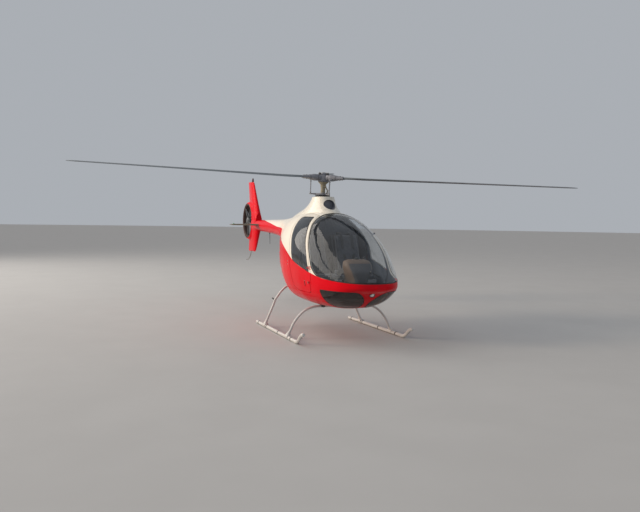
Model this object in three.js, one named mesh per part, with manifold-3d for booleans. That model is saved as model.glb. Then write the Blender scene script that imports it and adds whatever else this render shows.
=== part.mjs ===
// A light two-seat helicopter standing on its skids: a moulded cabin with a bubble windshield and two doors,
// a three-blade main rotor on a tall mast fairing, and a tail rotor that turns inside a duct in the fin.
// Millimetres. The nose points to -Y, the left-hand side is +X and +Z is up. Every height in this file is
// above the ground; the whole aircraft is lowered at the end so that the origin lies on the belly fitting.
import * as THREE from "three";
import { mergeVertices } from "three/addons/utils/BufferGeometryUtils.js";
import Module from "manifold-3d";

const wasm = await Module();
wasm.setup();

// Driving dimensions
const ROTOR_RADIUS = 3600;
const FAN_RADIUS = 300; // the ducted tail rotor
const WALL = 25; // moulded cabin and door walls
const GLASS = 6; // windshield and windows
const SEAM = 0.3; // the least gap between two pieces that touch
const DOOR_GAP = 9; // running gap round a door
const NOSE = -1860;
const BELLY = 418; // height of the belly fitting's lower face

const MAST_TILT = 0.0842; // the shaft leans forward, radians
const MAST_LEAN = 0.0099; // and a little to the left
const HUB_HEIGHT = 2250;
const FIRST_BLADE = 0.0992 + Math.PI; // direction of the first blade from +X, radians
const CONING = 0.016; // the blades rise this much from the hub, radians

// Finishes, from the photograph
const finish = (color, roughness, metalness = 0) => new THREE.MeshStandardMaterial({ color, roughness, metalness });
const RED = finish(0xc8102e, 0.3);
const GREY_GREEN = finish(0x766e5b, 0.5);
const WHITE = finish(0xf2e9d8, 0.3);
const BLADE_GREY = finish(0x4d5459, 0.5);
const DARK_METAL = finish(0x5b5f63, 0.45, 0.7);
const STEEL = finish(0xb9b3b0, 0.35, 0.6);
const SKID_PAINT = finish(0xc9bfb9, 0.45, 0.2);
const BLACK = finish(0x22242a, 0.6);
const FABRIC = finish(0x363c46, 0.85);
const CLEAR = new THREE.MeshStandardMaterial({ color: 0x8fa0aa, roughness: 0.05, transparent: true, opacity: 0.35 });
const LAMP = finish(0xf6f6f0, 0.2);

// Solids from three.js geometry and back
function solid(geometry) {
  const bare = geometry.index ? geometry.toNonIndexed() : geometry.clone();
  const shape = new THREE.BufferGeometry().setAttribute("position", bare.getAttribute("position"));
  const merged = mergeVertices(shape, 1e-3);
  const vertProperties = new Float32Array(merged.attributes.position.array);
  return new wasm.Manifold(new wasm.Mesh({ numProp: 3, vertProperties, triVerts: new Uint32Array(merged.index.array) }));
}

function geometryOf(body) {
  const mesh = body.getMesh();
  const points = new Float32Array(mesh.numVert * 3);
  for (let i = 0; i < mesh.numVert; i++) {
    points.set(mesh.vertProperties.subarray(i * mesh.numProp, i * mesh.numProp + 3), i * 3);
  }
  const geometry = new THREE.BufferGeometry().setAttribute("position", new THREE.BufferAttribute(points, 3));
  geometry.setIndex(new THREE.BufferAttribute(new Uint32Array(mesh.triVerts), 1));
  return geometry;
}

const join = (...bodies) => bodies.reduce((all, next) => all.add(next));

// The largest body of a cut piece, so that slivers beyond a cut are dropped
const main = (body) => body.decompose().reduce((best, next) => (next.volume() > best.volume() ? next : best));

const box = (x0, x1, y0, y1, z0, z1) =>
  solid(new THREE.BoxGeometry(x1 - x0, y1 - y0, z1 - z0).translate((x0 + x1) / 2, (y0 + y1) / 2, (z0 + z1) / 2));

const mirrored = (body) => body.mirror([1, 0, 0]);

// A cylinder or cone frustum from one point to another
function rod(from, to, r0, r1 = r0, sides = 10) {
  const a = new THREE.Vector3(...from);
  const b = new THREE.Vector3(...to);
  const turn = new THREE.Quaternion().setFromUnitVectors(new THREE.Vector3(0, 1, 0), b.clone().sub(a).normalize());
  const geometry = new THREE.CylinderGeometry(r1, r0, a.distanceTo(b), sides);
  return solid(geometry.applyQuaternion(turn).translate((a.x + b.x) / 2, (a.y + b.y) / 2, (a.z + b.z) / 2));
}

// A round tube or bar along a smooth line through points
function bar(points, radius, steps, sides = 10) {
  const line = new THREE.CatmullRomCurve3(points.map((p) => new THREE.Vector3(...p)), false, "centripetal");
  const section = new THREE.Shape();
  for (let i = 0; i < sides; i++) {
    const a = (2 * Math.PI * i) / sides;
    section[i ? "lineTo" : "moveTo"](radius * Math.cos(a), radius * Math.sin(a));
  }
  return solid(new THREE.ExtrudeGeometry(section, { steps, extrudePath: line, bevelEnabled: false }));
}

// A closed outline of [y, z, corner radius] points, seen from the side
function sideOutline(corners, grow = 0) {
  const turn = Math.sign(THREE.ShapeUtils.area(corners.map(([y, z]) => new THREE.Vector2(y, z))));
  const lines = corners.map((p, i) => {
    const q = corners[(i + 1) % corners.length];
    const along = new THREE.Vector2(q[0] - p[0], q[1] - p[1]).normalize();
    const out = new THREE.Vector2(along.y, -along.x).multiplyScalar(turn);
    return { at: new THREE.Vector2(p[0], p[1]).addScaledVector(out, grow), along };
  });
  const moved = corners.map((p, i) => {
    const a = lines[(i + corners.length - 1) % corners.length];
    const b = lines[i];
    const cross = a.along.x * b.along.y - a.along.y * b.along.x;
    if (Math.abs(cross) < 1e-6) return b.at;
    const t = ((b.at.x - a.at.x) * b.along.y - (b.at.y - a.at.y) * b.along.x) / cross;
    return a.at.clone().addScaledVector(a.along, t);
  });
  const shape = new THREE.Shape();
  moved.forEach((p, i) => {
    const before = moved[(i + moved.length - 1) % moved.length];
    const after = moved[(i + 1) % moved.length];
    const r = Math.min(corners[i][2], 0.45 * p.distanceTo(before), 0.45 * p.distanceTo(after));
    const start = p.clone().add(before.clone().sub(p).setLength(r));
    const end = p.clone().add(after.clone().sub(p).setLength(r));
    shape[i ? "lineTo" : "moveTo"](start.x, start.y);
    if (r) shape.quadraticCurveTo(p.x, p.y, end.x, end.y);
  });
  return shape;
}

// A side outline drawn out along X between x0 and x1
function sidePrism(shape, x0, x1, curveSegments = 3) {
  const geometry = new THREE.ExtrudeGeometry(shape, { depth: x1 - x0, bevelEnabled: false, curveSegments });
  // The shape's own x, y and depth become Y, Z and X
  const turn = new THREE.Matrix4().set(0, 0, 1, x0, 1, 0, 0, 0, 0, 1, 0, 0, 0, 0, 0, 1);
  return solid(geometry.applyMatrix4(turn));
}

// Body sections from nose to tail, each a superellipse with its own upper and lower half
const SECTIONS = [
  // y, half width, top z, bottom z, z where widest, upper power, lower power
  [-1860, 20, 800, 765, 780, 2.0, 2.0],
  [-1820, 190, 900, 735, 780, 2.0, 2.0],
  [-1740, 310, 1000, 700, 780, 2.0, 2.0],
  [-1600, 420, 1140, 600, 790, 2.0, 2.1],
  [-1400, 500, 1297, 490, 830, 2.0, 2.3],
  [-1150, 565, 1455, 445, 910, 2.1, 2.7],
  [-900, 600, 1576, 433, 1000, 2.1, 3.0],
  [-600, 620, 1688, 430, 1080, 2.1, 3.3],
  [-300, 620, 1745, 430, 1120, 2.1, 3.3],
  [0, 605, 1765, 432, 1140, 2.1, 3.2],
  [300, 560, 1757, 460, 1170, 2.1, 2.8],
  [600, 480, 1730, 545, 1220, 2.1, 2.5],
  [900, 375, 1697, 705, 1290, 2.1, 2.3],
  [1200, 270, 1665, 940, 1370, 2.1, 2.2],
  [1500, 190, 1642, 1180, 1445, 2.1, 2.0],
  [1750, 165, 1628, 1305, 1475, 2.0, 2.0],
  [3400, 105, 1612, 1405, 1515, 2.0, 2.0],
];

// Smooth curve through the table's columns that never overshoots a value
function columnCurve(column) {
  const x = SECTIONS.map((row) => row[0]);
  const v = SECTIONS.map((row) => row[column]);
  const slope = x.slice(1).map((xi, i) => (v[i + 1] - v[i]) / (xi - x[i]));
  const tangent = v.map((_, i) => {
    if (i === 0) return slope[0];
    if (i === v.length - 1) return slope[i - 1];
    const [a, b] = [slope[i - 1], slope[i]];
    if (a * b <= 0) return 0;
    const [h0, h1] = [x[i] - x[i - 1], x[i + 1] - x[i]];
    return (3 * (h0 + h1)) / ((2 * h1 + h0) / a + (h1 + 2 * h0) / b);
  });
  return (at) => {
    let i = x.findIndex((xi) => xi > at) - 1;
    if (i < 0) i = at < x[0] ? 0 : x.length - 2;
    const h = x[i + 1] - x[i];
    const t = (at - x[i]) / h;
    return (
      v[i] * (1 + 2 * t) * (1 - t) ** 2 +
      tangent[i] * h * t * (1 - t) ** 2 +
      v[i + 1] * t * t * (3 - 2 * t) +
      tangent[i + 1] * h * t * t * (t - 1)
    );
  };
}
const [widthAt, topAt, bottomAt, widestAt, upperPower, lowerPower] = [1, 2, 3, 4, 5, 6].map(columnCurve);

// One ring of the body's skin at y, moved inwards by inset
function sectionRing(y, inset, sides) {
  const steep = (curve) => Math.hypot(1, (curve(y + 1) - curve(y - 1)) / 2);
  const half = Math.max(2, widthAt(y) - inset * steep(widthAt));
  const top = topAt(y) - inset * steep(topAt);
  const bottom = bottomAt(y) + inset * steep(bottomAt);
  const middle = Math.min(Math.max(widestAt(y), bottom + 1), top - 1);
  return Array.from({ length: sides }, (_, i) => {
    const a = (2 * Math.PI * i) / sides;
    const [c, s] = [Math.cos(a), Math.sin(a)];
    const power = 2 / (s >= 0 ? upperPower(y) : lowerPower(y));
    const height = s >= 0 ? top - middle : middle - bottom;
    return new THREE.Vector3(
      half * Math.sign(c) * Math.abs(c) ** power,
      y,
      middle + height * Math.sign(s) * Math.abs(s) ** power,
    );
  });
}

// A closed solid through rings of equal length
function loft(rings) {
  const sides = rings[0].length;
  const points = rings.flat();
  const faces = [];
  for (let r = 0; r < rings.length - 1; r++) {
    for (let i = 0; i < sides; i++) {
      const [a, b] = [r * sides + i, r * sides + ((i + 1) % sides)];
      faces.push(a, a + sides, b, b, a + sides, b + sides);
    }
  }
  const last = (rings.length - 1) * sides;
  for (let i = 1; i < sides - 1; i++) {
    faces.push(0, i, i + 1);
    faces.push(last, last + i + 1, last + i);
  }
  const geometry = new THREE.BufferGeometry().setFromPoints(points);
  geometry.setIndex(faces);
  const made = solid(geometry);
  if (made.volume() > 0) return made;
  geometry.setIndex(faces.reverse());
  return solid(geometry);
}

const stations = (from, to, count) => Array.from({ length: count }, (_, i) => from + ((to - from) * i) / (count - 1));
const SKIN_SIDES = 28;
const NOSE_STATIONS = [-1860, -1845, -1810, -1760, -1690, -1600, -1500];
const BODY_STATIONS = [...NOSE_STATIONS, ...stations(-1370, 1550, 12)];
const bodySolid = (inset, from = NOSE, to = 1550) =>
  loft(
    [from, ...BODY_STATIONS.filter((y) => y > from + 5 && y < to - 5), to].map((y) => sectionRing(y, inset, SKIN_SIDES)),
  );

const outerSkin = bodySolid(0);
const innerSkin = bodySolid(WALL, NOSE + 45, 1560);
const innerFit = bodySolid(WALL + SEAM, NOSE + 46, 1519);
const glassSkin = bodySolid(GLASS, NOSE + 18, 1530);
const shell = outerSkin.subtract(innerSkin);
const glazing = outerSkin.subtract(glassSkin);

// Openings seen from the side: [y, z, corner radius]
const WINDSHIELD_EDGE = [
  [-440, 1900, 0],
  [-450, 1715, 60],
  [-740, 1425, 60],
  [-962, 1140, 60],
  [-1062, 975, 90],
  [-1180, 893, 50],
  [-1400, 862, 60],
  [-1700, 838, 60],
  [-2000, 822, 0],
  [-2000, 1900, 0],
];
const DOOR_WINDOW = [
  [-415, 1662, 30],
  [-650, 1453, 60],
  [-885, 1150, 60],
  [-1000, 925, 30],
  [-720, 990, 60],
  [-395, 1060, 70],
  [-325, 1262, 60],
  [-60, 1668, 70],
];
const DOOR_EDGE = [
  [-425, 1702, 30],
  [-690, 1470, 60],
  [-925, 1158, 60],
  [-1045, 900, 40],
  [-985, 650, 70],
  [-420, 650, 110],
  [-290, 1000, 60],
  [-262, 1245, 60],
  [-20, 1640, 90],
  [-95, 1706, 50],
];
const CHIN_WINDOW = [
  [-1238, 722, 30],
  [-1225, 474, 70],
  [-2000, 474, 0],
  [-2000, 722, 0],
];
// Its shape from the front: [distance from the middle, z, corner radius]
const CHIN_FRONT = [
  [205, 722, 60],
  [92, 652, 70],
  [28, 556, 40],
  [44, 480, 35],
  [900, 440, 0],
  [900, 722, 0],
];
const HANDLE_SLOT = [
  [-862, 812, 9],
  [-840, 812, 9],
  [-840, 728, 9],
  [-862, 728, 9],
];
const CABIN_END = 250;
const ROOF_EDGE = 240; // the doors reach up to this distance from the middle
const RABBET = 24; // a door's inner frame is this much smaller than its skin

const windshieldCut = sidePrism(sideOutline(WINDSHIELD_EDGE), -900, 900);
const windshieldFit = sidePrism(sideOutline(WINDSHIELD_EDGE, -SEAM), -900, 900);
const doorSide = (shape, sign, near = ROOF_EDGE) => sidePrism(shape, sign > 0 ? near : -900, sign > 0 ? 900 : -near);
const chinSide = (grow, sign) => {
  const front = new THREE.ExtrudeGeometry(sideOutline(CHIN_FRONT, grow), { depth: 1200, bevelEnabled: false, curveSegments: 4 });
  const along = solid(front.rotateX(Math.PI / 2).translate(0, -900, 0));
  const right = sidePrism(sideOutline(CHIN_WINDOW, grow), 15, 900).intersect(along);
  return sign > 0 ? right : mirrored(right);
};

const group = new THREE.Group();
const nodes = new Map();
function add(name, body, material) {
  const mesh = new THREE.Mesh(geometryOf(body), material);
  mesh.name = name;
  group.add(mesh);
  nodes.set(name, body);
  return body;
}

// Cabin shell, glazing and doors
let cabin = shell.intersect(box(-900, 900, NOSE - 10, CABIN_END, 300, 2000)).subtract(windshieldCut);
cabin = cabin.subtract(rod([0, 0, 1600], [0, 0, 1800], 110, 110, 16));
for (const sign of [-1, 1]) {
  const doorway = doorSide(sideOutline(DOOR_EDGE, DOOR_GAP), sign, ROOF_EDGE - DOOR_GAP);
  cabin = cabin.subtract(doorway).subtract(chinSide(0, sign));
}
add("windshield", main(glazing.intersect(windshieldFit)), CLEAR);
const SIDES = [
  ["left", 1],
  ["right", -1],
];
for (const [side, sign] of SIDES) {
  const doorSkin = glazing.intersect(doorSide(sideOutline(DOOR_EDGE), sign));
  const doorFrame = shell.intersect(doorSide(sideOutline(DOOR_EDGE, -RABBET), sign, ROOF_EDGE + RABBET));
  const slot = glazing.intersect(doorSide(sideOutline(HANDLE_SLOT), sign));
  const pane = doorSide(sideOutline(DOOR_WINDOW), sign);
  add(`door_${side}`, main(join(doorSkin, doorFrame).subtract(pane).subtract(slot)), WHITE);
  add(`door_window_${side}`, main(glazing.intersect(doorSide(sideOutline(DOOR_WINDOW, -SEAM), sign))), CLEAR);
  add(`chin_window_${side}`, main(glazing.intersect(chinSide(-SEAM, sign))), CLEAR);
}

// A plain round lamp in the chin, between the chin windows
const LAMP_AT = [0, -1712, 683];
const LAMP_TILT = [0, -0.82, -0.57]; // the way it faces
const lampRod = (radius, from, to) =>
  rod(
    LAMP_AT.map((v, i) => v + from * LAMP_TILT[i]),
    LAMP_AT.map((v, i) => v + to * LAMP_TILT[i]),
    radius,
    radius,
    20,
  );
cabin = cabin.subtract(lampRod(36.4, -60, 60));
add("nose_lamp", lampRod(36, -22, 8), LAMP);

// The side cowls over the engine, and the rear fuselage between them
const COWL = [
  [330, 1330, 60],
  [330, 760, 90],
  [620, 760, 60],
  [1130, 1240, 60],
  [1130, 1400, 60],
];
let rear = shell.intersect(box(-900, 900, CABIN_END + SEAM, 1550, 300, 2000));
for (const [side, sign] of SIDES) {
  rear = rear.subtract(doorSide(sideOutline(COWL), sign));
  add(`engine_cowl_${side}`, main(shell.intersect(doorSide(sideOutline(COWL, -SEAM), sign))), RED);
}

// Tail boom, a tube that is open towards the fuselage
const BOOM_START = 1550 + SEAM;
const BOOM_END = 3420;
const BOOM_WALL = 12;
const boomSolid = loft(stations(BOOM_START, BOOM_END, 8).map((y) => sectionRing(y, 0, 24)));
const boomRoom = loft(stations(BOOM_START - 5, BOOM_END - 20, 8).map((y) => sectionRing(y, BOOM_WALL, 24)));
const boom = boomSolid.subtract(boomRoom);
add("tail_boom", boom, RED);

// Fin: a ring that carries the fan, with an upper and a lower fin
const FAN_Y = 4030;
const FAN_Z = 1595;
const DUCT_BORE = FAN_RADIUS + 8;
const DUCT_OUTER = 385;
const DUCT_HALF = 76; // half the duct's width across the fin
const LIP = 28;
const ductProfile = [
  [DUCT_BORE, -DUCT_HALF + LIP],
  [DUCT_BORE + 0.3 * LIP, -DUCT_HALF + 0.3 * LIP],
  [DUCT_BORE + LIP, -DUCT_HALF],
  [DUCT_BORE + 1.6 * LIP, -DUCT_HALF + 0.25 * LIP],
  [DUCT_OUTER, -DUCT_HALF + 1.5 * LIP],
];
const ductRing = () => {
  const outline = [...ductProfile, ...ductProfile.map(([r, x]) => [r, -x]).reverse()];
  const points = [...outline, outline[0]].map(([r, x]) => new THREE.Vector2(r, x));
  const made = solid(new THREE.LatheGeometry(points, 36));
  const facing = made.volume() > 0 ? made : solid(new THREE.LatheGeometry(points.reverse(), 36));
  return facing.rotate([0, 0, 90]).translate([0, FAN_Y, FAN_Z]);
};

// A streamlined section: chord from y0 to y1 at height z, of the given thickness
function finRing(y0, y1, z, thickness) {
  const half = [0, 0.34, 0.47, 0.5, 0.42, 0.22, 0.05];
  const place = [0, 0.05, 0.15, 0.32, 0.6, 0.85, 1];
  const at = (i, sign) => new THREE.Vector3(sign * half[i] * thickness, y0 + place[i] * (y1 - y0), z);
  return [...place.keys()].map((i) => at(i, 1)).concat([6, 5, 4, 3, 2, 1].map((i) => at(i, -1)));
}
const FIN_SECTIONS = {
  // y at the leading edge, y at the trailing edge, z, thickness
  upper: [
    [3345, 4130, 1640, 150],
    [3450, 4100, 1800, 120],
    [3545, 4110, 1950, 95],
    [3680, 4150, 2170, 70],
    [3800, 4195, 2360, 50],
    [3850, 4190, 2385, 26],
  ],
  lower: [
    [3330, 4130, 1560, 150],
    [3420, 4120, 1380, 130],
    [3500, 4125, 1230, 100],
    [3570, 4135, 1100, 74],
    [3640, 4145, 1000, 50],
    [3690, 4130, 975, 26],
  ],
};
const ductHole = rod([-300, FAN_Y, FAN_Z], [300, FAN_Y, FAN_Z], DUCT_OUTER - 20, DUCT_OUTER - 20, 36);
const finOf = (rows) => loft(rows.map((row) => finRing(...row))).subtract(ductHole);
const FIN_SPLIT = { upper: 1985, lower: 1205 }; // where the fins part from the ring
const ring = ductRing();
// The moulding that carries the ring on the boom's end
const root = loft([
  sectionRing(BOOM_END + SEAM, 0, 24),
  sectionRing(BOOM_END + 120, 0, 24).map((p) => new THREE.Vector3(p.x * 0.95, p.y, p.z)),
  sectionRing(BOOM_END + 280, 0, 24).map((p) => new THREE.Vector3(p.x * 0.9, p.y, (p.z - 1525) * 1.1 + 1530)),
]).subtract(ductHole);
const shroud = join(ring, root, finOf(FIN_SECTIONS.upper).intersect(box(-300, 300, 3000, 4600, FAN_Z - 60, FIN_SPLIT.upper)));
const shroudWhole = join(
  shroud,
  finOf(FIN_SECTIONS.lower).intersect(box(-300, 300, 3000, 4600, FIN_SPLIT.lower, FAN_Z + 60)),
).subtract(loft(stations(3000, BOOM_END + SEAM, 5).map((y) => sectionRing(y, -SEAM, 24))));
add("fan_shroud", main(shroudWhole), RED);
add("upper_fin", main(finOf(FIN_SECTIONS.upper).intersect(box(-300, 300, 3000, 4600, FIN_SPLIT.upper + SEAM, 2600))), RED);
add("lower_fin", main(finOf(FIN_SECTIONS.lower).intersect(box(-300, 300, 3000, 4600, 600, FIN_SPLIT.lower - SEAM))), RED);

add(
  "beacon",
  join(rod([0, 3885, 2362], [0, 3885, 2408], 21, 21, 12), rod([0, 3885, 2407], [0, 3885, 2456], 18, 12, 12)).subtract(
    finOf(FIN_SECTIONS.upper).scale([1.03, 1, 1]).translate([0, 0, SEAM]),
  ),
  BLACK,
);
add(
  "tail_skid",
  bar([[0, 3960, 973], [0, 3990, 920], [0, 4080, 840], [0, 4190, 795], [0, 4300, 782]], 9, 14, 8)
    .subtract(finOf(FIN_SECTIONS.lower)),
  STEEL,
);

// Tailplane halves on the boom's sides
const PLANE = { half: 640, front: 3020, rear: 3320, z: 1520, thick: 34, sweep: 40 };
function planeHalf(sign) {
  const ring = (x, y0, y1, t) =>
    finRing(y0, y1, 0, t).map((p) => new THREE.Vector3(sign * x, p.y, PLANE.z + p.x));
  const made = loft([
    ring(70, PLANE.front, PLANE.rear, PLANE.thick),
    ring(PLANE.half - 30, PLANE.front + PLANE.sweep, PLANE.rear, PLANE.thick * 0.8),
    ring(PLANE.half, PLANE.front + PLANE.sweep + 30, PLANE.rear - 15, PLANE.thick * 0.4),
  ]);
  const around = loft(stations(2900, BOOM_END, 6).map((y) => sectionRing(y, -SEAM, 24)));
  return main(made.subtract(around));
}
for (const [side, sign] of SIDES) add(`tailplane_${side}`, planeHalf(sign), GREY_GREEN);

// The ducted fan: seven blades on a hub, and the gearbox on its struts
const FAN_BLADES = 7;
const FAN_TILT = 0.62; // blade pitch, radians
function fanRotor() {
  const hub = rod([-24, 0, 0], [36, 0, 0], 88, 88, 24);
  const nose = rod([36, 0, 0], [58, 0, 0], 88, 50, 24);
  const blade = loft(
    [
      [60, 74, 16],
      [180, 66, 12],
      [FAN_RADIUS, 58, 8],
    ].map(([r, chord, thick]) =>
      [
        [-0.5, 0],
        [-0.2, 0.5],
        [0.25, 0.4],
        [0.5, 0],
        [0.25, -0.4],
        [-0.2, -0.5],
      ].map(([c, t]) => {
        const [along, across] = [c * chord, t * thick];
        return new THREE.Vector3(
          along * Math.sin(FAN_TILT) + across * Math.cos(FAN_TILT),
          along * Math.cos(FAN_TILT) - across * Math.sin(FAN_TILT),
          r,
        );
      }),
    ),
  );
  let rotor = join(hub, nose);
  for (let i = 0; i < FAN_BLADES; i++) rotor = rotor.add(blade.rotate([(360 * i) / FAN_BLADES, 0, 0]));
  return rotor.translate([0, FAN_Y, FAN_Z]);
}
add("fan_rotor", fanRotor(), DARK_METAL);

const STRUTS = 5;
function fanGearbox() {
  const body = join(rod([-84, 0, 0], [-66, 0, 0], 44, 66, 20), rod([-66.5, 0, 0], [-32, 0, 0], 66, 80, 20));
  let made = join(body, rod([-33, 0, 0], [-24.5, 0, 0], 24, 24, 16));
  for (let i = 0; i < STRUTS; i++) {
    const vane = box(-66, -36, -6, 6, 60, DUCT_BORE * Math.cos(Math.PI / 36) - SEAM);
    made = made.add(vane.rotate([(360 * (i + 0.5)) / STRUTS, 0, 0]));
  }
  return made.translate([0, FAN_Y, FAN_Z]);
}
add("fan_gearbox", fanGearbox(), DARK_METAL);

// Mast fairing: rounded plan sections that narrow towards the top
const FAIRING = [
  // z, half width, y at the front, y at the rear, plan power
  [1600, 330, -560, 1150, 2.0],
  [1700, 262, -480, 900, 2.0],
  [1750, 228, -400, 690, 2.1],
  [1795, 200, -318, 500, 2.2],
  [1860, 168, -255, 340, 2.4],
  [1920, 150, -222, 250, 2.6],
  [1965, 142, -200, 215, 2.6],
];
const FAIRING_TOP = 1965;
const fairingRing = ([z, half, front, back, power], sides) =>
  Array.from({ length: sides }, (_, i) => {
    const a = (2 * Math.PI * i) / sides;
    const [c, s] = [Math.cos(a), Math.sin(a)];
    const middle = (front + back) / 2;
    return new THREE.Vector3(
      half * Math.sign(c) * Math.abs(c) ** (2 / power),
      middle + ((back - front) / 2) * Math.sign(s) * Math.abs(s) ** (2 / power),
      z,
    );
  });
const MAST_AXIS = new THREE.Vector3(Math.sin(MAST_LEAN), -Math.sin(MAST_TILT), Math.cos(MAST_TILT)).normalize();
const HUB = new THREE.Vector3(0, 0, HUB_HEIGHT);
const onMast = (z) => HUB.clone().addScaledVector(MAST_AXIS, (z - HUB_HEIGHT) / MAST_AXIS.z).toArray();
const INTAKE = { z: 1845, half: 90, high: 74, back: -160 };
function mastFairing() {
  const rows = FAIRING.map((row) => fairingRing(row, 24));
  let made = loft(rows).subtract(bodySolid(-SEAM, NOSE + 6));
  made = made.subtract(rod(onMast(1640), onMast(2100), 122, 122, 28));
  const mouth = new THREE.Shape().absellipse(0, 0, INTAKE.half, INTAKE.high, 0, 2 * Math.PI);
  const pocket = new THREE.ExtrudeGeometry(mouth, { depth: 300, bevelEnabled: false, curveSegments: 6 });
  return made.subtract(solid(pocket.rotateX(Math.PI / 2).translate(0, INTAKE.back, INTAKE.z)));
}
add("mast_fairing", main(mastFairing()), WHITE);

// Skids with upturned tips
const TRACK = 787;
const SKID_R = 25;
const SKID_REAR = 754;
const SKID_SIDE = [
  // y, z
  [SKID_REAR, SKID_R],
  [200, SKID_R],
  [-400, SKID_R],
  [-1000, SKID_R],
  [-1090, SKID_R + 1],
  [-1145, SKID_R + 12],
  [-1195, SKID_R + 42],
  [-1250, SKID_R + 86],
  [-1305, SKID_R + 118],
  [-1375, SKID_R + 134],
];
for (const [side, sign] of SIDES) {
  const x = sign * TRACK;
  const shoe = box(x - 16, x + 16, -980, SKID_REAR - 60, 0, 8);
  const tube = bar(SKID_SIDE.map(([y, z]) => [x, y, z]), SKID_R, 22, 12);
  add(`skid_${side}`, join(tube, shoe).subtract(box(-2000, 2000, -2000, 2000, -60, 0)), SKID_PAINT);
}

// Bowed cross tubes, each given by one side's half
const CROSS = {
  front: {
    y: -737,
    side: [
      // x, z
      [785, 50],
      [743, 125],
      [708, 203],
      [654, 279],
      [599, 337],
      [544, 379],
      [480, 409],
      [395, 429],
      [240, 434],
    ],
  },
  rear: {
    y: 307,
    side: [
      [786, 50],
      [752, 135],
      [703, 248],
      [663, 340],
      [640, 408],
      [604, 458],
      [565, 512],
      [515, 567],
      [464, 606],
      [400, 634],
      [240, 652],
    ],
  },
};
const TUBE_R = 17;
const crossBar = ({ y, side }, radius) =>
  bar([...side.map(([x, z]) => [-x, y, z]), ...[...side].reverse().map(([x, z]) => [x, y, z])], radius, 30, 8);
const insideBody = bodySolid(-SEAM, NOSE + 6);
for (const [end, size] of Object.entries(CROSS)) {
  let tube = crossBar(size, TUBE_R);
  for (const sign of [-1, 1]) {
    const x = sign * TRACK;
    // A collar round the skid
    tube = join(tube, rod([x, size.y - 55, SKID_R], [x, size.y + 55, SKID_R], SKID_R + 9, SKID_R + 9, 12));
    if (end === "front") {
      const clamp = box(sign * 280 - 28, sign * 280 + 28, size.y - 38, size.y + 38, 420, 520);
      tube = join(tube, clamp.subtract(insideBody));
    } else {
      // A step peg that points back and up
      tube = join(tube, rod([sign * 640, size.y, 404], [sign * 662, size.y + 62, 432], 10, 9, 8));
    }
    tube = tube.subtract(rod([x, size.y - 80, SKID_R], [x, size.y + 80, SKID_R], SKID_R + 0.5, SKID_R + 0.5, 12));
  }
  tube = tube.subtract(nodes.get("skid_left")).subtract(nodes.get("skid_right"));
  const whole = main(tube.subtract(box(-2000, 2000, -2000, 2000, -60, 0.5)));
  add(`cross_tube_${end}`, whole, SKID_PAINT);
  const room = crossBar(size, TUBE_R + 0.5);
  cabin = cabin.subtract(room);
  rear = rear.subtract(room);
}
// The slim pillars between windshield and doors are mouldings of their own, bonded in at both ends
const PILLAR = { low: 1010, high: 1640 };
for (const [side, sign] of SIDES) {
  const pillarBox = (gap) =>
    box(sign > 0 ? 150 : -900, sign > 0 ? 900 : -150, -1120, -470, PILLAR.low - gap, PILLAR.high + gap);
  add(`windshield_pillar_${side}`, main(cabin.intersect(pillarBox(0))), WHITE);
  cabin = cabin.subtract(pillarBox(SEAM));
}
add("cabin_shell", main(cabin), RED);
add("rear_fuselage", main(rear), RED);

// A flat hard point under the mast for a cargo hook
add("belly_fitting", main(box(-60, 60, -60, 60, BELLY, 470).subtract(insideBody)), DARK_METAL);

// Rotor head: everything here turns about the shaft
const rotorTurn = new THREE.Matrix4().makeBasis(
  new THREE.Vector3(1, 0, 0).addScaledVector(MAST_AXIS, -MAST_AXIS.x).normalize(),
  new THREE.Vector3().crossVectors(MAST_AXIS, new THREE.Vector3(1, 0, 0).addScaledVector(MAST_AXIS, -MAST_AXIS.x)).normalize(),
  MAST_AXIS,
);
rotorTurn.setPosition(HUB);
const onRotor = (body, turn = 0) => {
  const placed = rotorTurn.clone().multiply(new THREE.Matrix4().makeRotationZ(turn));
  return body.transform(placed.toArray());
};
const BLADES = 3;
const bladeTurn = (k) => FIRST_BLADE + (2 * Math.PI * k) / BLADES;
const SLEEVE_END = 360;
const HUB_R = 84;
const HORN = { reach: 187, lead: 0.47 }; // where a pitch link meets its horn: radius, and angle ahead of its blade
const MAST_R = 34;

const mast = join(rod([0, 0, -560], [0, 0, -60], MAST_R, MAST_R, 20), rod([0, 0, -118], [0, 0, -60], 37, 80, 20));
add("rotor_mast", onRotor(mast), STEEL);
const hubBody = (radius, top) => rod([0, 0, -60 + SEAM], [0, 0, top], radius, radius, 24);
let hub = join(hubBody(HUB_R, 40), rod([0, 0, 39], [0, 0, 72], 48, 34, 20));
for (let k = 0; k < BLADES; k++) {
  const turn = bladeTurn(k);
  const [c, s] = [Math.cos(turn), Math.sin(turn)];
  const bolt = (across) => {
    const at = [c * 66 - s * across, s * 66 + c * across];
    return rod([...at, 36], [...at, 84], 13, 11, 8);
  };
  hub = join(hub, bolt(-20), bolt(20));
}
add("rotor_hub", onRotor(hub), DARK_METAL);

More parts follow.
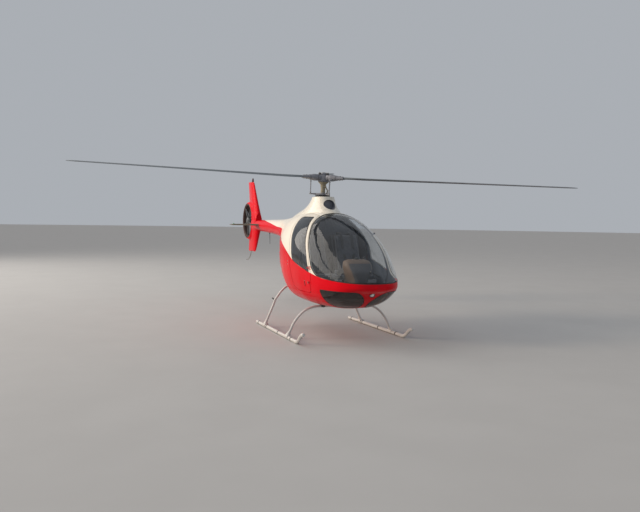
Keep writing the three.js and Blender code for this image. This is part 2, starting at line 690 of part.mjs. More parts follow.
const sleeveRing = (r, wide, high, lift, sides = 14) =>
  Array.from({ length: sides }, (_, i) => {
    const a = (2 * Math.PI * i) / sides;
    return new THREE.Vector3(r, wide * Math.cos(a), lift + high * Math.sin(a));
  });
const SLEEVE = [
  // distance out, half width, half height
  [60, 60, 43],
  [150, 74, 50],
  [210, 66, 40],
  [290, 48, 25],
  [SLEEVE_END, 46, 19],
];
const lift = (r) => r * CONING;
for (let k = 0; k < BLADES; k++) {
  const shape = loft(SLEEVE.map(([r, wide, high]) => sleeveRing(r, wide, high, lift(r))));
  // The pitch horn reaches out ahead of the leading edge to its link
  const tip = [HORN.reach * Math.cos(HORN.lead), -HORN.reach * Math.sin(HORN.lead)];
  const horn = rod([190, -30, lift(190) - 8], [...tip, -32], 17, 14, 8);
  add(`blade_sleeve_${k + 1}`, main(onRotor(join(shape, horn), bladeTurn(k)).subtract(onRotor(hubBody(HUB_R + 0.5, 120)))), DARK_METAL);
}

// Rotor blades: a cambered section on a straight span, thinned at the tip
const CHORD = 180;
const BLADE_SECTIONS = [
  // distance out, chord, thickness, twist in radians
  [SLEEVE_END + SEAM, 96, 34, 0.14],
  [520, 150, 28, 0.14],
  [700, CHORD, 22, 0.13],
  [2100, CHORD, 20, 0.07],
  [3480, CHORD, 18, 0.02],
  [ROTOR_RADIUS - 20, 150, 14, 0.01],
  [ROTOR_RADIUS, 110, 8, 0.01],
];
const bladeRing = ([r, chord, thick, twist]) =>
  [
    [0, 0],
    [0.06, 0.38],
    [0.25, 0.55],
    [0.6, 0.4],
    [1, 0.04],
    [1, -0.04],
    [0.6, -0.3],
    [0.25, -0.45],
    [0.06, -0.34],
  ].map(([along, up]) => {
    // The blades turn clockwise seen from above, so the leading edge lies towards -Y of the blade's own frame
    const [y, z] = [(along - 0.28) * chord, up * thick];
    return new THREE.Vector3(r, y * Math.cos(twist) + z * Math.sin(twist), lift(r) - y * Math.sin(twist) + z * Math.cos(twist));
  });
for (let k = 0; k < BLADES; k++) add(`blade_${k + 1}`, onRotor(loft(BLADE_SECTIONS.map(bladeRing)), bladeTurn(k)), BLADE_GREY);

// Swashplate round the mast at the fairing's mouth, and the links up to the pitch horns
const SWASH_Z = -244;
const plate = (z0, z1, radius, bore) =>
  rod([0, 0, z0], [0, 0, z1], radius, radius, 24).subtract(rod([0, 0, z0 - 20], [0, 0, z1 + 20], bore, bore, 24));
let swashRotating = plate(SWASH_Z - 11, SWASH_Z + 11, 104, MAST_R + 1);
for (let k = 0; k < BLADES; k++) {
  const spoke = rod([80, 0, SWASH_Z], [HORN.reach + 12, 0, SWASH_Z], 10, 10, 8);
  swashRotating = swashRotating.add(spoke.rotate([0, 0, ((bladeTurn(k) - HORN.lead) * 180) / Math.PI]));
}
// Scissor link that turns the plate with the mast
const scissor = join(
  rod([0, -78, SWASH_Z + 5], [0, -96, -190], 9, 8, 8),
  rod([0, -96, -186], [0, -44, -126], 8, 9, 8),
  box(-12, 12, -58, -MAST_R - 1, -136, -112),
);
swashRotating = join(swashRotating, scissor.rotate([0, 0, 24]));
const mastRoom = join(rod([0, 0, -560], [0, 0, -60], MAST_R + 0.6, MAST_R + 0.6, 20), rod([0, 0, -119], [0, 0, -59], 39, 83, 20));
add("swashplate_rotating", main(onRotor(swashRotating.subtract(mastRoom))), DARK_METAL);
const guide = plate(-560 + SEAM, SWASH_Z - 30, 54, MAST_R + 6);
add("swashplate_fixed", onRotor(join(guide, plate(SWASH_Z - 42, SWASH_Z - 17, 112, MAST_R + 6))), STEEL);
for (let k = 0; k < BLADES; k++) {
  const foot = HORN.reach - 3;
  const low = SWASH_Z + 10.5;
  const link = join(
    rod([foot, 0, low + 20], [HORN.reach, 0, -60], 7, 7, 8),
    rod([foot, 0, low], [foot, 0, low + 28], 12, 12, 10),
    rod([HORN.reach, 0, -76], [HORN.reach, 0, -44], 12, 12, 10),
  );
  const placed = onRotor(link, bladeTurn(k) - HORN.lead);
  const sleeve = nodes.get(`blade_sleeve_${k + 1}`);
  add(`pitch_link_${k + 1}`, main(placed.subtract(sleeve)), STEEL);
}

// Cabin interior: floor and rear wall in one, and the drive behind them
const FLOOR_Z = 560;
const BULKHEAD_Y = -62;
const floor = innerFit.intersect(box(-700, 700, -1240, BULKHEAD_Y, FLOOR_Z - 20, FLOOR_Z));
const bulkhead = innerFit.intersect(box(-700, 700, BULKHEAD_Y - 1, BULKHEAD_Y + 22, FLOOR_Z - 20, 2000));
add("cabin_liner", main(join(floor, bulkhead).subtract(rod(onMast(1640), onMast(2100), 124, 124, 24))), BLACK);
const DRIVE_Y = BULKHEAD_Y + 22 + SEAM;
add("engine_block", box(-270, 270, DRIVE_Y, 640, 800, 1230), DARK_METAL);
const gearCase = join(
  box(-115, 115, DRIVE_Y, 190, 1230 + SEAM, 1590),
  onRotor(rod([0, 0, -700], [0, 0, -560.5], 96, 96, 20)).subtract(box(-300, 300, -300, DRIVE_Y, 1000, 2000)),
);
add("main_gearbox", main(gearCase), DARK_METAL);

const SEAT_X = 265;
const SEAT_PROFILE = [
  [-860, 740, 20],
  [-860, 800, 25],
  [-420, 762, 20],
  [-170, 1400, 20],
  [-125, 1400, 20],
  [-325, 740, 20],
];
const CUSHIONS = {
  seat: [
    [-866, 700, 0],
    [-866, 868, 30],
    [-470, 836, 30],
    [-440, 700, 0],
  ],
  back: [
    [-467.5, 842, 20],
    [-262, 1424, 25],
    [-160, 1424, 25],
    [-380, 700, 0],
  ],
};
for (const [side, sign] of SIDES) {
  const x = sign * SEAT_X;
  const pedestal = box(x - 125, x + 125, -800, -340, FLOOR_Z + SEAM, 745);
  add(`seat_${side}`, join(sidePrism(sideOutline(SEAT_PROFILE), x - 215, x + 215, 3), pedestal), BLACK);
  const seatRoom = sidePrism(sideOutline(SEAT_PROFILE, SEAM), x - 300, x + 300, 3);
  for (const [part, outline] of Object.entries(CUSHIONS)) {
    const pad = sidePrism(sideOutline(outline), x - 205, x + 205, 3).subtract(seatRoom);
    add(`${part}_cushion_${side}`, main(pad.intersect(box(-600, 600, -900, -100, 750, 1500))), FABRIC);
  }
}

// Instrument console: a pedestal that swells into a rounded binnacle under the windshield
const CONSOLE = [
  // z, half width, y at the front, y at the rear
  [FLOOR_Z + SEAM, 90, -1110, -940],
  [700, 92, -1260, -960],
  [820, 110, -1420, -1000],
  [930, 165, -1430, -1060],
  [1020, 190, -1370, -1110],
  [1080, 175, -1310, -1130],
  [1105, 120, -1260, -1160],
];
const consoleRing = ([z, half, front, back]) => fairingRing([z, half, front, back, 3], 20);
add("instrument_console", loft(CONSOLE.map(consoleRing)), BLACK);

for (const [side, sign] of SIDES) {
  const x = sign * SEAT_X;
  const collar = rod([x, -930, FLOOR_Z + SEAM], [x, -930, FLOOR_Z + 30], 24, 20, 8);
  const stick = bar([[x, -930, FLOOR_Z + 12], [x, -960, 700], [x, -985, 860], [x, -930, 960], [x, -905, 1040]], 11, 10, 6);
  add(`cyclic_${side}`, join(collar, stick, rod([x, -908, 1020], [x, -888, 1120], 18, 16, 8)), BLACK);
  const lever = bar([[sign * 30, -420, FLOOR_Z + 24], [sign * 30, -560, 640], [sign * 30, -800, 760]], 11, 5, 6);
  const foot = box(sign * 30 - 18, sign * 30 + 18, -450, -380, FLOOR_Z + SEAM, FLOOR_Z + 40);
  add(`collective_${side}`, join(lever, foot, rod([sign * 30, -780, 752], [sign * 30, -900, 806], 17, 15, 8)), BLACK);
}
const PEDAL_Y = -1172;
let pedals = rod([-360, PEDAL_Y, FLOOR_Z + 22], [360, PEDAL_Y, FLOOR_Z + 22], 10, 10, 8);
for (const x of [-330, -200, 200, 330]) {
  pedals = join(
    pedals,
    box(x - 8, x + 8, PEDAL_Y - 8, PEDAL_Y + 8, FLOOR_Z + 18, FLOOR_Z + 110),
    box(x - 42, x + 42, PEDAL_Y + 4, PEDAL_Y + 16, FLOOR_Z + 85, FLOOR_Z + 160),
  );
}
for (const x of [-265, 265]) {
  pedals = join(pedals, box(x - 16, x + 16, PEDAL_Y - 14, PEDAL_Y + 14, FLOOR_Z + SEAM, FLOOR_Z + 30));
}
add("pedals", pedals, BLACK);

// Exhaust under the rear fuselage, and a rod aerial under the boom
const exhaust = bar([[150, 640, 700], [150, 700, 600], [150, 790, 520], [150, 900, 500]], 32, 10, 12);
add("exhaust_pipe", main(exhaust.subtract(bodySolid(-SEAM, NOSE + 6))), DARK_METAL);
const boomUnder = bottomAt(2690);
add(
  "boom_aerial",
  rod([0, 2668, 1165], [0, 2690, boomUnder + 20], 5, 8, 8).subtract(loft([2600, 2800].map((y) => sectionRing(y, -SEAM, 24)))),
  BLACK,
);

group.position.z = -BELLY;
const helicopter = new THREE.Group();
helicopter.add(group);
export default helicopter;
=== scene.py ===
"""A light two-seat helicopter on its skids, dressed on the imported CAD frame.

Lengths are metres. The nose points to -Y, the left-hand side is +X and +Z is up. Tables and formulas give
heights above the ground, and make_piece lowers every mesh by BELLY, because the frame's origin lies on the
belly fitting.
"""

import logging
import math
from dataclasses import dataclass, field
from enum import Enum
from typing import Callable, Sequence

import bpy
import numpy as np
from mathutils import Matrix


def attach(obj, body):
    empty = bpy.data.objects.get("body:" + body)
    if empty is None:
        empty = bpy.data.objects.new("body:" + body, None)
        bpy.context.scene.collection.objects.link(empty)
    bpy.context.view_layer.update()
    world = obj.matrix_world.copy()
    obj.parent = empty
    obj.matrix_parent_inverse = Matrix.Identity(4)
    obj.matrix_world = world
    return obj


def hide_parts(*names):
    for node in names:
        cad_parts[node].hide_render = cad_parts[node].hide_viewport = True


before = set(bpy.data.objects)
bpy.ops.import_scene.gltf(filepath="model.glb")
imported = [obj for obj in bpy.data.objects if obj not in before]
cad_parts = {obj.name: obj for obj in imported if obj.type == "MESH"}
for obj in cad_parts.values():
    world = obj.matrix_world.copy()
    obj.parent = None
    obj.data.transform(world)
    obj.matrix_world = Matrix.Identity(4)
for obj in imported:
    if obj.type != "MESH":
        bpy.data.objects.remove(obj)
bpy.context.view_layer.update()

log = logging.getLogger("helicopter")
Array = np.ndarray
Row = Sequence[float]
Rows = Sequence[Row]
Triple = tuple[float, float, float]
Field = Callable[[Array], Array]
Place = Callable[[Array], Array]
Tree = bpy.types.NodeTree
Socket = bpy.types.NodeSocket
BELLY = 0.418
SIDEWAYS = np.array([1.0, 0, 0])
AFT = (0, 1, 0)
UP = (0, 0, 1)
DOWN = (0, 0, -1)
NOSE_SPAN = (-1.87, -0.40)
CHIN_SPAN = (-1.87, -1.15)
DOOR_SPAN = (-1.15, 0.05)
FAN_CENTRE = (0.0, 4.030, 1.595)
FAN_BORE = 0.308


class Body(str, Enum):
    """The CAD bodies that pieces ride on."""

    FUSELAGE = "fuselage"
    MAIN = "main_rotor"
    TAIL = "tail_rotor"
    LEFT = "door_left"
    RIGHT = "door_right"


class Side(Enum):
    """The two sides of the aircraft, with the sign of their X."""

    LEFT = 1
    RIGHT = -1

    @property
    def word(self) -> str:
        """The side's name in lower case, as the nodes have it."""
        return self.name.lower()

    @property
    def door(self) -> Body:
        """The body of the door on this side."""
        return Body.LEFT if self is Side.LEFT else Body.RIGHT


@dataclass(frozen=True)
class Finish:
    """A surface finish worked out from noise in object coordinates.

    The colour wanders between base and second, the roughness between two values, and a fine grain gives
    the bump.
    """

    name: str
    base: Triple
    second: Triple
    rough: tuple[float, float] = (0.3, 0.45)
    patch: float = 3.0
    grain: float = 900.0
    bump: float = 0.05
    depth: float = 0.0004
    metal: float = 0.0
    coat: float = 0.0
    coat_rough: float = 0.05
    sheen: float = 0.0
    specular: float = 0.5

    def build(self) -> bpy.types.Material:
        """Makes the material.

        Returns:
            The new material.
        """
        material = bpy.data.materials.new(self.name)
        material.use_nodes = True
        tree = material.node_tree
        shader = tree.nodes["Principled BSDF"]
        shader.inputs["Metallic"].default_value = self.metal
        shader.inputs["Coat Weight"].default_value = self.coat
        shader.inputs["Coat Roughness"].default_value = self.coat_rough
        shader.inputs["Sheen Weight"].default_value = self.sheen
        shader.inputs["Specular IOR Level"].default_value = self.specular
        self.dress(tree, shader)
        return material

    def dress(self, tree: Tree, shader: bpy.types.ShaderNode) -> None:
        """Links the colour, roughness and bump.

        Args:
            tree: The material's nodes.
            shader: Its principled shader.
        """
        coords = add_node(tree, "TexCoord", {}).outputs["Object"]
        broad = noise(tree, coords, self.patch, 4.0)
        colour = blend(tree, spread(tree, broad, 0.35, 0.65), self.base, self.second)
        tree.links.new(self.tint(tree, coords, colour), shader.inputs["Base Color"])
        smudge = noise(tree, coords, self.patch * 5.0, 6.0)
        tree.links.new(spread(tree, smudge, 0.3, 0.7, *self.rough), shader.inputs["Roughness"])
        height = self.relief(tree, coords)
        bump = add_node(tree, "Bump", {"Strength": self.bump, "Distance": self.depth, "Height": height})
        tree.links.new(bump.outputs["Normal"], shader.inputs["Normal"])

    def tint(self, tree: Tree, coords: Socket, colour: Socket) -> Socket:
        """The final colour; plain finishes keep the wandering one."""
        return colour

    def relief(self, tree: Tree, coords: Socket) -> Socket:
        """The height that the bump reads; plain finishes have an even grain."""
        return noise(tree, coords, self.grain, 2.0)


def add_node(tree: Tree, kind: str, inputs: dict[str | int, object], **settings: object) -> bpy.types.Node:
    """A new node, with its settings made and its inputs linked or set.

    Args:
        tree: The material's nodes.
        kind: The node's type, without the word that all shader nodes start with.
        inputs: A socket or a value for each input, by its name or number.
        settings: The node's own settings.

    Returns:
        The node.
    """
    node = tree.nodes.new("ShaderNode" + kind)
    for name, setting in settings.items():
        setattr(node, name, setting)
    for key, value in inputs.items():
        if isinstance(value, Socket):
            tree.links.new(value, node.inputs[key])
        else:
            node.inputs[key].default_value = value
    return node


def noise(tree: Tree, coords: Socket, scale: float, detail: float, stretch: Triple = (1, 1, 1)) -> Socket:
    """Cloudy noise, finer with scale and drawn out by stretch.

    Args:
        tree: The material's nodes.
        coords: The coordinates it reads.
        scale: Waves in a metre.
        detail: Octaves.
        stretch: Scale along each axis.

    Returns:
        The noise's value, from 0 to 1.
    """
    if stretch != (1, 1, 1):
        coords = add_node(tree, "Mapping", {"Vector": coords, "Scale": stretch}).outputs["Vector"]
    return add_node(tree, "TexNoise", {"Vector": coords, "Scale": scale, "Detail": detail}).outputs["Fac"]


def spread(
    tree: Tree, value: Socket, low: float, high: float, out_low: float = 0, out_high: float = 1
) -> Socket:
    """Maps low..high to out_low..out_high, and holds the ends.

    Args:
        tree: The material's nodes.
        value: What is mapped.
        low: The value that gives out_low.
        high: The value that gives out_high.
        out_low: The first result.
        out_high: The last result.

    Returns:
        The mapped value.
    """
    ends = {"From Min": low, "From Max": high, "To Min": out_low, "To Max": out_high}
    return add_node(tree, "MapRange", {"Value": value, **ends}).outputs["Result"]


def blend(tree: Tree, share: Socket, first: Socket | Triple, second: Socket | Triple) -> Socket:
    """Mixes two colours.

    Args:
        tree: The material's nodes.
        share: How much of the second colour shows.
        first: The colour at 0.
        second: The colour at 1.

    Returns:
        The mixed colour.
    """
    tones = [tone if isinstance(tone, Socket) else (*tone, 1.0) for tone in (first, second)]
    return add_node(tree, "Mix", {0: share, 6: tones[0], 7: tones[1]}, data_type="RGBA").outputs[2]


def reckon(tree: Tree, how: str, first: Socket | float, second: Socket | float) -> Socket:
    """One sum on two values.

    Args:
        tree: The material's nodes.
        how: The Math node's operation.
        first: The first value.
        second: The second value.

    Returns:
        The result.
    """
    return add_node(tree, "Math", {0: first, 1: second}, operation=how).outputs[0]


def axis(tree: Tree, coords: Socket, letter: str) -> Socket:
    """One coordinate of a vector, by its letter."""
    return add_node(tree, "SeparateXYZ", {0: coords}).outputs[letter]


def between(tree: Tree, share: Socket, first: Socket, second: Socket) -> Socket:
    """Mixes two shaders, by the share of the second."""
    return add_node(tree, "MixShader", {0: share, 1: first, 2: second}).outputs[0]


@dataclass(frozen=True)
class Paint(Finish):
    """Clear-coated paint in two colours that part along the line where the attribute 'stripe' is 0.

    A trace of dust gathers in patches, more of it low on the body.
    """

    upper: Triple = (0.8, 0.76, 0.68)
    dust: Triple = (0.42, 0.35, 0.29)
    most_dust: float = 0.012
    softness: float = 0.0012

    def tint(self, tree: Tree, coords: Socket, colour: Socket) -> Socket:
        """White above the line, red below it, and the dust over both.

        Args:
            tree: The material's nodes.
            coords: Object coordinates.
            colour: The red.

        Returns:
            The final colour.
        """
        line = add_node(tree, "Attribute", {}, attribute_name="stripe")
        above = spread(tree, line.outputs["Fac"], -self.softness, self.softness)
        faint = spread(tree, noise(tree, coords, 2.2, 3.0), 0.35, 0.7)
        chalky = blend(tree, faint, self.upper, tuple(0.93 * c for c in self.upper))
        painted = blend(tree, above, colour, chalky)
        low = spread(tree, axis(tree, coords, "Z"), 0.35, -0.02, 0.0, self.most_dust)
        patchy = spread(tree, noise(tree, coords, 5.0, 4.0), 0.45, 0.75)
        return blend(tree, reckon(tree, "MULTIPLY", low, patchy), painted, self.dust)

    def relief(self, tree: Tree, coords: Socket) -> Socket:
        """The faint unevenness of sprayed paint on a moulding."""
        return noise(tree, coords, 260.0, 1.0)


@dataclass(frozen=True)
class Weave(Finish):
    """Woven cloth or webbing, with threads that cross at a pitch given in metres."""

    pitch: float = 0.0016

    def relief(self, tree: Tree, coords: Socket) -> Socket:
        """Two sets of ridges at right angles, added to a soft nap.

        Args:
            tree: The material's nodes.
            coords: Object coordinates.

        Returns:
            The height that the bump reads.
        """
        inputs = {"Vector": coords, "Scale": 0.314 / self.pitch, "Distortion": 0.6}
        ridges = [add_node(tree, "TexWave", inputs, bands_direction=way).outputs["Fac"] for way in ("X", "Z")]
        return reckon(tree, "ADD", reckon(tree, "MULTIPLY", *ridges), noise(tree, coords, 240.0, 3.0))


@dataclass(frozen=True)
class Worn(Finish):
    """A painted tube whose paint has rubbed through to bare metal in specks, most of them near the ground."""

    bare: Triple = (0.30, 0.28, 0.27)
    top: float = -0.36
    most: float = 0.9

    def tint(self, tree: Tree, coords: Socket, colour: Socket) -> Socket:
        """Bare specks over the paint, by height and noise.

        Args:
            tree: The material's nodes.
            coords: Object coordinates.
            colour: The paint.

        Returns:
            The final colour.
        """
        low = spread(tree, axis(tree, coords, "Z"), self.top + 0.06, self.top - 0.05, 0.06, self.most)
        specks = spread(tree, noise(tree, coords, 60.0, 8.0), 0.52, 0.6)
        return blend(tree, reckon(tree, "MULTIPLY", low, specks), colour, self.bare)


@dataclass(frozen=True)
class Tempered(Finish):
    """Steel that heat has tinted from straw to blue along Y."""

    start: float = 0.7
    end: float = 0.9
    stops: Sequence[tuple[float, Triple]] = (
        (0.0, (0.36, 0.33, 0.30)),
        (0.35, (0.42, 0.31, 0.17)),
        (0.6, (0.26, 0.17, 0.19)),
        (0.85, (0.15, 0.15, 0.20)),
    )
    soot: Triple = (0.06, 0.055, 0.05)

    def tint(self, tree: Tree, coords: Socket, colour: Socket) -> Socket:
        """A ramp of temper colours, shifted by noise, that ends in soot.

        Args:
            tree: The material's nodes.
            coords: Object coordinates.
            colour: The bare steel.

        Returns:
            The final colour.
        """
        along = spread(tree, axis(tree, coords, "Y"), self.start, self.end)
        shift = spread(tree, noise(tree, coords, 18.0, 4.0), 0.3, 0.7, -0.15, 0.15)
        ramp = add_node(tree, "ValToRGB", {"Fac": reckon(tree, "ADD", along, shift)})
        steps = ramp.color_ramp.elements
        for place, tone in self.stops:
            stop = steps[0] if place == 0.0 else steps.new(place)
            stop.position, stop.color = place, (*tone, 1.0)
        steps[-1].color = (*self.soot, 1.0)
        bare = spread(tree, noise(tree, coords, 90.0, 3.0), 0.5, 0.8, 0.0, 0.5)
        return blend(tree, bare, ramp.outputs["Color"], colour)


@dataclass(frozen=True)
class Glazing:
    """Clear or tinted sheet: what is behind shows through, and the near face reflects more at a slant."""

    name: str
    tint: Triple
    rough: float = 0.015
    haze: float = 0.0
    film: Triple = (0.55, 0.56, 0.58)
    index: float = 1.45

    def build(self) -> bpy.types.Material:
        """Makes the material.

        Returns:
            The new material.
        """
        material = bpy.data.materials.new(self.name)
        material.use_nodes = True
        tree = material.node_tree
        tree.nodes.remove(tree.nodes["Principled BSDF"])
        coords = add_node(tree, "TexCoord", {}).outputs["Object"]
        streaks = spread(tree, noise(tree, coords, 5.0, 5.0, (1, 1, 0.35)), 0.4, 0.7)
        colour = blend(tree, streaks, self.tint, tuple(0.97 * c for c in self.tint))
        through = add_node(tree, "BsdfTransparent", {"Color": colour}).outputs[0]
        film = add_node(tree, "BsdfDiffuse", {"Color": (*self.film, 1.0)}).outputs[0]
        amount = spread(tree, noise(tree, coords, 9.0, 8.0), 0.4, 0.75, 0.4 * self.haze, self.haze)
        dusty = between(tree, amount, through, film)
        gloss = add_node(
            tree, "BsdfGlossy", {"Roughness": self.rough, "Color": (1.0, 1.0, 1.0, 1.0)}
        ).outputs[0]
        slant = add_node(tree, "Fresnel", {"IOR": self.index}).outputs[0]
        near = reckon(tree, "SUBTRACT", 1.0, add_node(tree, "NewGeometry", {}).outputs["Backfacing"])
        mixed = between(tree, reckon(tree, "MULTIPLY", slant, near), dusty, gloss)
        tree.links.new(mixed, tree.nodes["Material Output"].inputs["Surface"])
        return material


RED = (0.67, 0.003, 0.012)
CREAM = (0.80, 0.755, 0.66)


class Coat(Enum):
    """Every finish on the aircraft."""

    PAINT = Paint(
        "two_tone_paint", RED, (0.62, 0.002, 0.009), (0.16, 0.24), coat=0.05, bump=0.02, specular=0.06
    )
    RED = Finish(
        "red_paint", RED, (0.62, 0.002, 0.009), (0.16, 0.24), coat=0.05, bump=0.02, grain=260.0, specular=0.06
    )
    # Painted shade: the duct's lip, its bore and a band round it are dark brown, as the duct looks in shade.
    LIP = Finish(
        "duct_lip_painted_shade", (0.045, 0.022, 0.018), (0.060, 0.030, 0.024), (0.45, 0.6), grain=300.0, bump=0.1,
        specular=0.35
    )
    # Painted shade: the tailplane's dark grey-green stands for white paint in shade, with the ground's green
    # reflected in it.
    PLANE = Finish(
        "tailplane_painted_shade", (0.175, 0.152, 0.105), (0.15, 0.13, 0.09), (0.4, 0.55), bump=0.04, grain=260.0
    )
    WHITE = Finish("white_paint", CREAM, (0.76, 0.72, 0.63), (0.24, 0.34), coat=0.6, bump=0.02, grain=260.0)
    TRIM = Finish(
        "cabin_trim", (0.070, 0.088, 0.120), (0.085, 0.102, 0.135), (0.62, 0.8), grain=420.0, bump=0.35,
        depth=0.0006
    )
    CARPET = Finish(
        "floor_carpet", (0.030, 0.032, 0.038), (0.045, 0.047, 0.052), (0.9, 1.0), grain=1400.0, bump=0.8,
        depth=0.002, sheen=0.3
    )
    RUBBER = Finish("black_rubber", (0.012, 0.012, 0.013), (0.022, 0.021, 0.020), (0.55, 0.75), bump=0.15)
    BLADE = Finish(
        "blade_grey", (0.105, 0.115, 0.120), (0.125, 0.133, 0.138), (0.42, 0.55), patch=1.2, bump=0.08,
        specular=0.4
    )
    EDGE = Finish("erosion_strip", (0.33, 0.33, 0.34), (0.24, 0.24, 0.25), (0.3, 0.5), patch=8.0, metal=0.9)
    HEAD = Finish(
        "head_grey", (0.20, 0.208, 0.24), (0.245, 0.248, 0.275), (0.38, 0.58), patch=12.0, metal=0.25,
        bump=0.15
    )
    STEEL = Finish(
        "bright_steel", (0.50, 0.47, 0.43), (0.38, 0.36, 0.33), (0.28, 0.45), patch=20.0, metal=0.85, bump=0.1
    )
    OLIVE = Finish(
        "primed_fitting", (0.34, 0.30, 0.22), (0.28, 0.25, 0.18), (0.4, 0.6), patch=20.0, metal=0.3, bump=0.1
    )
    SKID = Worn(
        "skid_paint", (0.37, 0.37, 0.385), (0.31, 0.31, 0.325), (0.38, 0.6), patch=6.0, metal=0.1, bump=0.15
    )
    SHOE = Finish(
        "wear_shoe", (0.16, 0.15, 0.15), (0.27, 0.25, 0.24), (0.35, 0.7), patch=16.0, metal=0.8, bump=0.4,
        grain=500.0
    )
    DARK = Finish(
        "dark_metal", (0.07, 0.072, 0.076), (0.11, 0.11, 0.112), (0.4, 0.62), patch=14.0, metal=0.6, bump=0.2
    )
    CASTING = Finish(
        "grey_casting", (0.22, 0.225, 0.23), (0.15, 0.15, 0.155), (0.45, 0.7), patch=10.0, metal=0.7,
        bump=0.5, grain=520.0
    )
    PLASTIC = Finish(
        "black_plastic", (0.016, 0.017, 0.019), (0.026, 0.027, 0.029), (0.42, 0.6), grain=700.0, bump=0.2
    )
    # Painted sunlight: the binnacle's tan is its cover as warm sunlight shows it.
    COVER = Finish(
        "binnacle_painted_sunlight_tan", (0.165, 0.110, 0.078), (0.195, 0.135, 0.098), (0.5, 0.65), grain=500.0, bump=0.3
    )
    # Dark grey of the instrument panel, also painted on the binnacle's front face as shade.
    PANEL = Finish(
        "panel_grey_and_painted_shade", (0.070, 0.070, 0.078), (0.090, 0.088, 0.095), (0.5, 0.68), grain=500.0, bump=0.3
    )
    SHELL = Finish(
        "seat_shell", (0.30, 0.31, 0.33), (0.36, 0.37, 0.39), (0.4, 0.55), grain=400.0, bump=0.15, coat=0.2
    )
    BACK = Finish(
        "seat_back_shell", (0.030, 0.036, 0.048), (0.040, 0.046, 0.060), (0.45, 0.6), grain=400.0, bump=0.15
    )
    FABRIC = Weave(
        "seat_cloth", (0.050, 0.058, 0.075), (0.075, 0.085, 0.105), (0.85, 0.98), patch=22.0, bump=0.7,
        depth=0.0012, sheen=0.35
    )
    PIPING = Weave(
        "seat_piping", (0.16, 0.17, 0.19), (0.20, 0.21, 0.23), (0.8, 0.95), patch=30.0, bump=0.5,
        depth=0.0008, sheen=0.2
    )
    WEBBING = Weave(
        "belt_webbing", (0.028, 0.030, 0.034), (0.045, 0.047, 0.052), (0.7, 0.9), patch=18.0, bump=0.8,
        depth=0.0009, pitch=0.0022, sheen=0.2
    )
    EXHAUST = Tempered(
        "heat_tinted_steel", (0.30, 0.27, 0.24), (0.20, 0.17, 0.15), (0.3, 0.55), patch=14.0, metal=0.9,
        bump=0.15
    )
    LENS = Finish(
        "lamp_reflector", (0.86, 0.85, 0.82), (0.70, 0.69, 0.67), (0.06, 0.16), patch=40.0, metal=0.9,
        bump=0.6, grain=130.0, depth=0.001
    )
    RED_LENS = Finish(
        "red_lens", (0.50, 0.01, 0.01), (0.40, 0.008, 0.008), (0.08, 0.15), coat=1.0, grain=300.0, bump=0.2
    )
    GREEN_LENS = Finish(
        "green_lens", (0.01, 0.30, 0.10), (0.01, 0.24, 0.08), (0.08, 0.15), coat=1.0, grain=300.0, bump=0.2
    )
    # Painted shade: the red dome is darkened as a red lens looks in shade.
    BEACON = Finish(
        "beacon_dome", (0.10, 0.012, 0.012), (0.07, 0.01, 0.01), (0.12, 0.2), coat=0.8, grain=300.0, bump=0.2
    )
    DIAL = Finish(
        "dial_face", (0.012, 0.013, 0.015), (0.018, 0.019, 0.022), (0.08, 0.14), coat=0.6, bump=0.02
    )
    MARK = Finish("dial_mark", (0.72, 0.72, 0.68), (0.64, 0.64, 0.60), (0.5, 0.6), bump=0.05)
    CLEAR = Glazing("clear_sheet", (0.925, 0.94, 0.95), haze=0.03)
    SMOKED = Glazing("smoked_sheet", (0.42, 0.38, 0.34), haze=0.03)

    @property
    def material(self) -> bpy.types.Material:
        """The finish's material, made when it is first asked for."""
        return bpy.data.materials.get(self.value.name) or self.value.build()


@dataclass
class Shape:
    """Points and faces that together make one piece, with a finish for each part."""

    points: list[Array] = field(default_factory=list)
    faces: list[list[list[int]]] = field(default_factory=list)
    slots: list[Array] = field(default_factory=list)
    coats: list[Coat] = field(default_factory=list)
    count: int = 0

    def place_of(self, coat: Coat) -> int:
        """A finish's place in the list, which it joins when it is new."""
        if coat not in self.coats:
            self.coats.append(coat)
        return self.coats.index(coat)

    def face(self, rows: Array, coat: Coat) -> None:
        """Adds faces between points that are there already.

        Args:
            rows: Rows of point numbers.
            coat: Their finish.
        """
        self.faces.append(rows.tolist())
        self.slots.append(np.full(len(rows), self.place_of(coat), np.int32))

    def repaint(self, part: int, chosen: Array, coat: Coat) -> None:
        """Gives some faces of one part another finish.

        Args:
            part: The part's place in the shape.
            chosen: Which of its faces.
            coat: Their finish.
        """
        self.slots[part][chosen] = self.place_of(coat)

    def add(self, points: Array, faces: Sequence[Array], coat: Coat) -> "Shape":
        """Adds a part.

        Args:
            points: Its points, above the ground.
            faces: Its faces, as arrays of rows of point numbers.
            coat: Its finish.

        Returns:
            The shape itself.
        """
        for rows in faces:
            self.face(rows + self.count, coat)
        self.points.append(points)
        self.count += len(points)
        return self

    def join(self, other: "Shape") -> "Shape":
        """Adds all the parts of another shape.

        Args:
            other: The shape that is added.

        Returns:
            The shape itself.
        """
        places = np.array([self.place_of(coat) for coat in other.coats], np.int32)
        for rows, slots in zip(other.faces, other.slots):
            self.faces.append((np.array(rows) + self.count).tolist())
            self.slots.append(places[slots])
        self.points.append(np.concatenate(other.points))
        self.count += other.count
        return self


def stripe_height(y: Array) -> Array:
    """Height of the line between the red and the white paint.

    Formula: straight runs between the listed points, smoothed by a mean over 9 places 0.12 m wide.

    Args:
        y: Places along the aircraft.

    Returns:
        The line's height above the ground at each place.
    """
    places = (
        -1.85, -1.70, -1.55, -1.35, -1.16, -0.97, -0.72, -0.40, -0.22, 0.03, 0.44, 1.08, 1.73, 2.275, 3.0,
        3.42
    )
    heights = (
        0.828, 0.839, 0.852, 0.865, 0.896, 0.935, 0.984, 1.06, 1.14, 1.23, 1.34, 1.477, 1.50, 1.56, 1.62,
        1.655
    )
    shifts = np.linspace(-0.06, 0.06, 9)
    return np.mean([np.interp(y + shift, places, heights) for shift in shifts], axis=0)


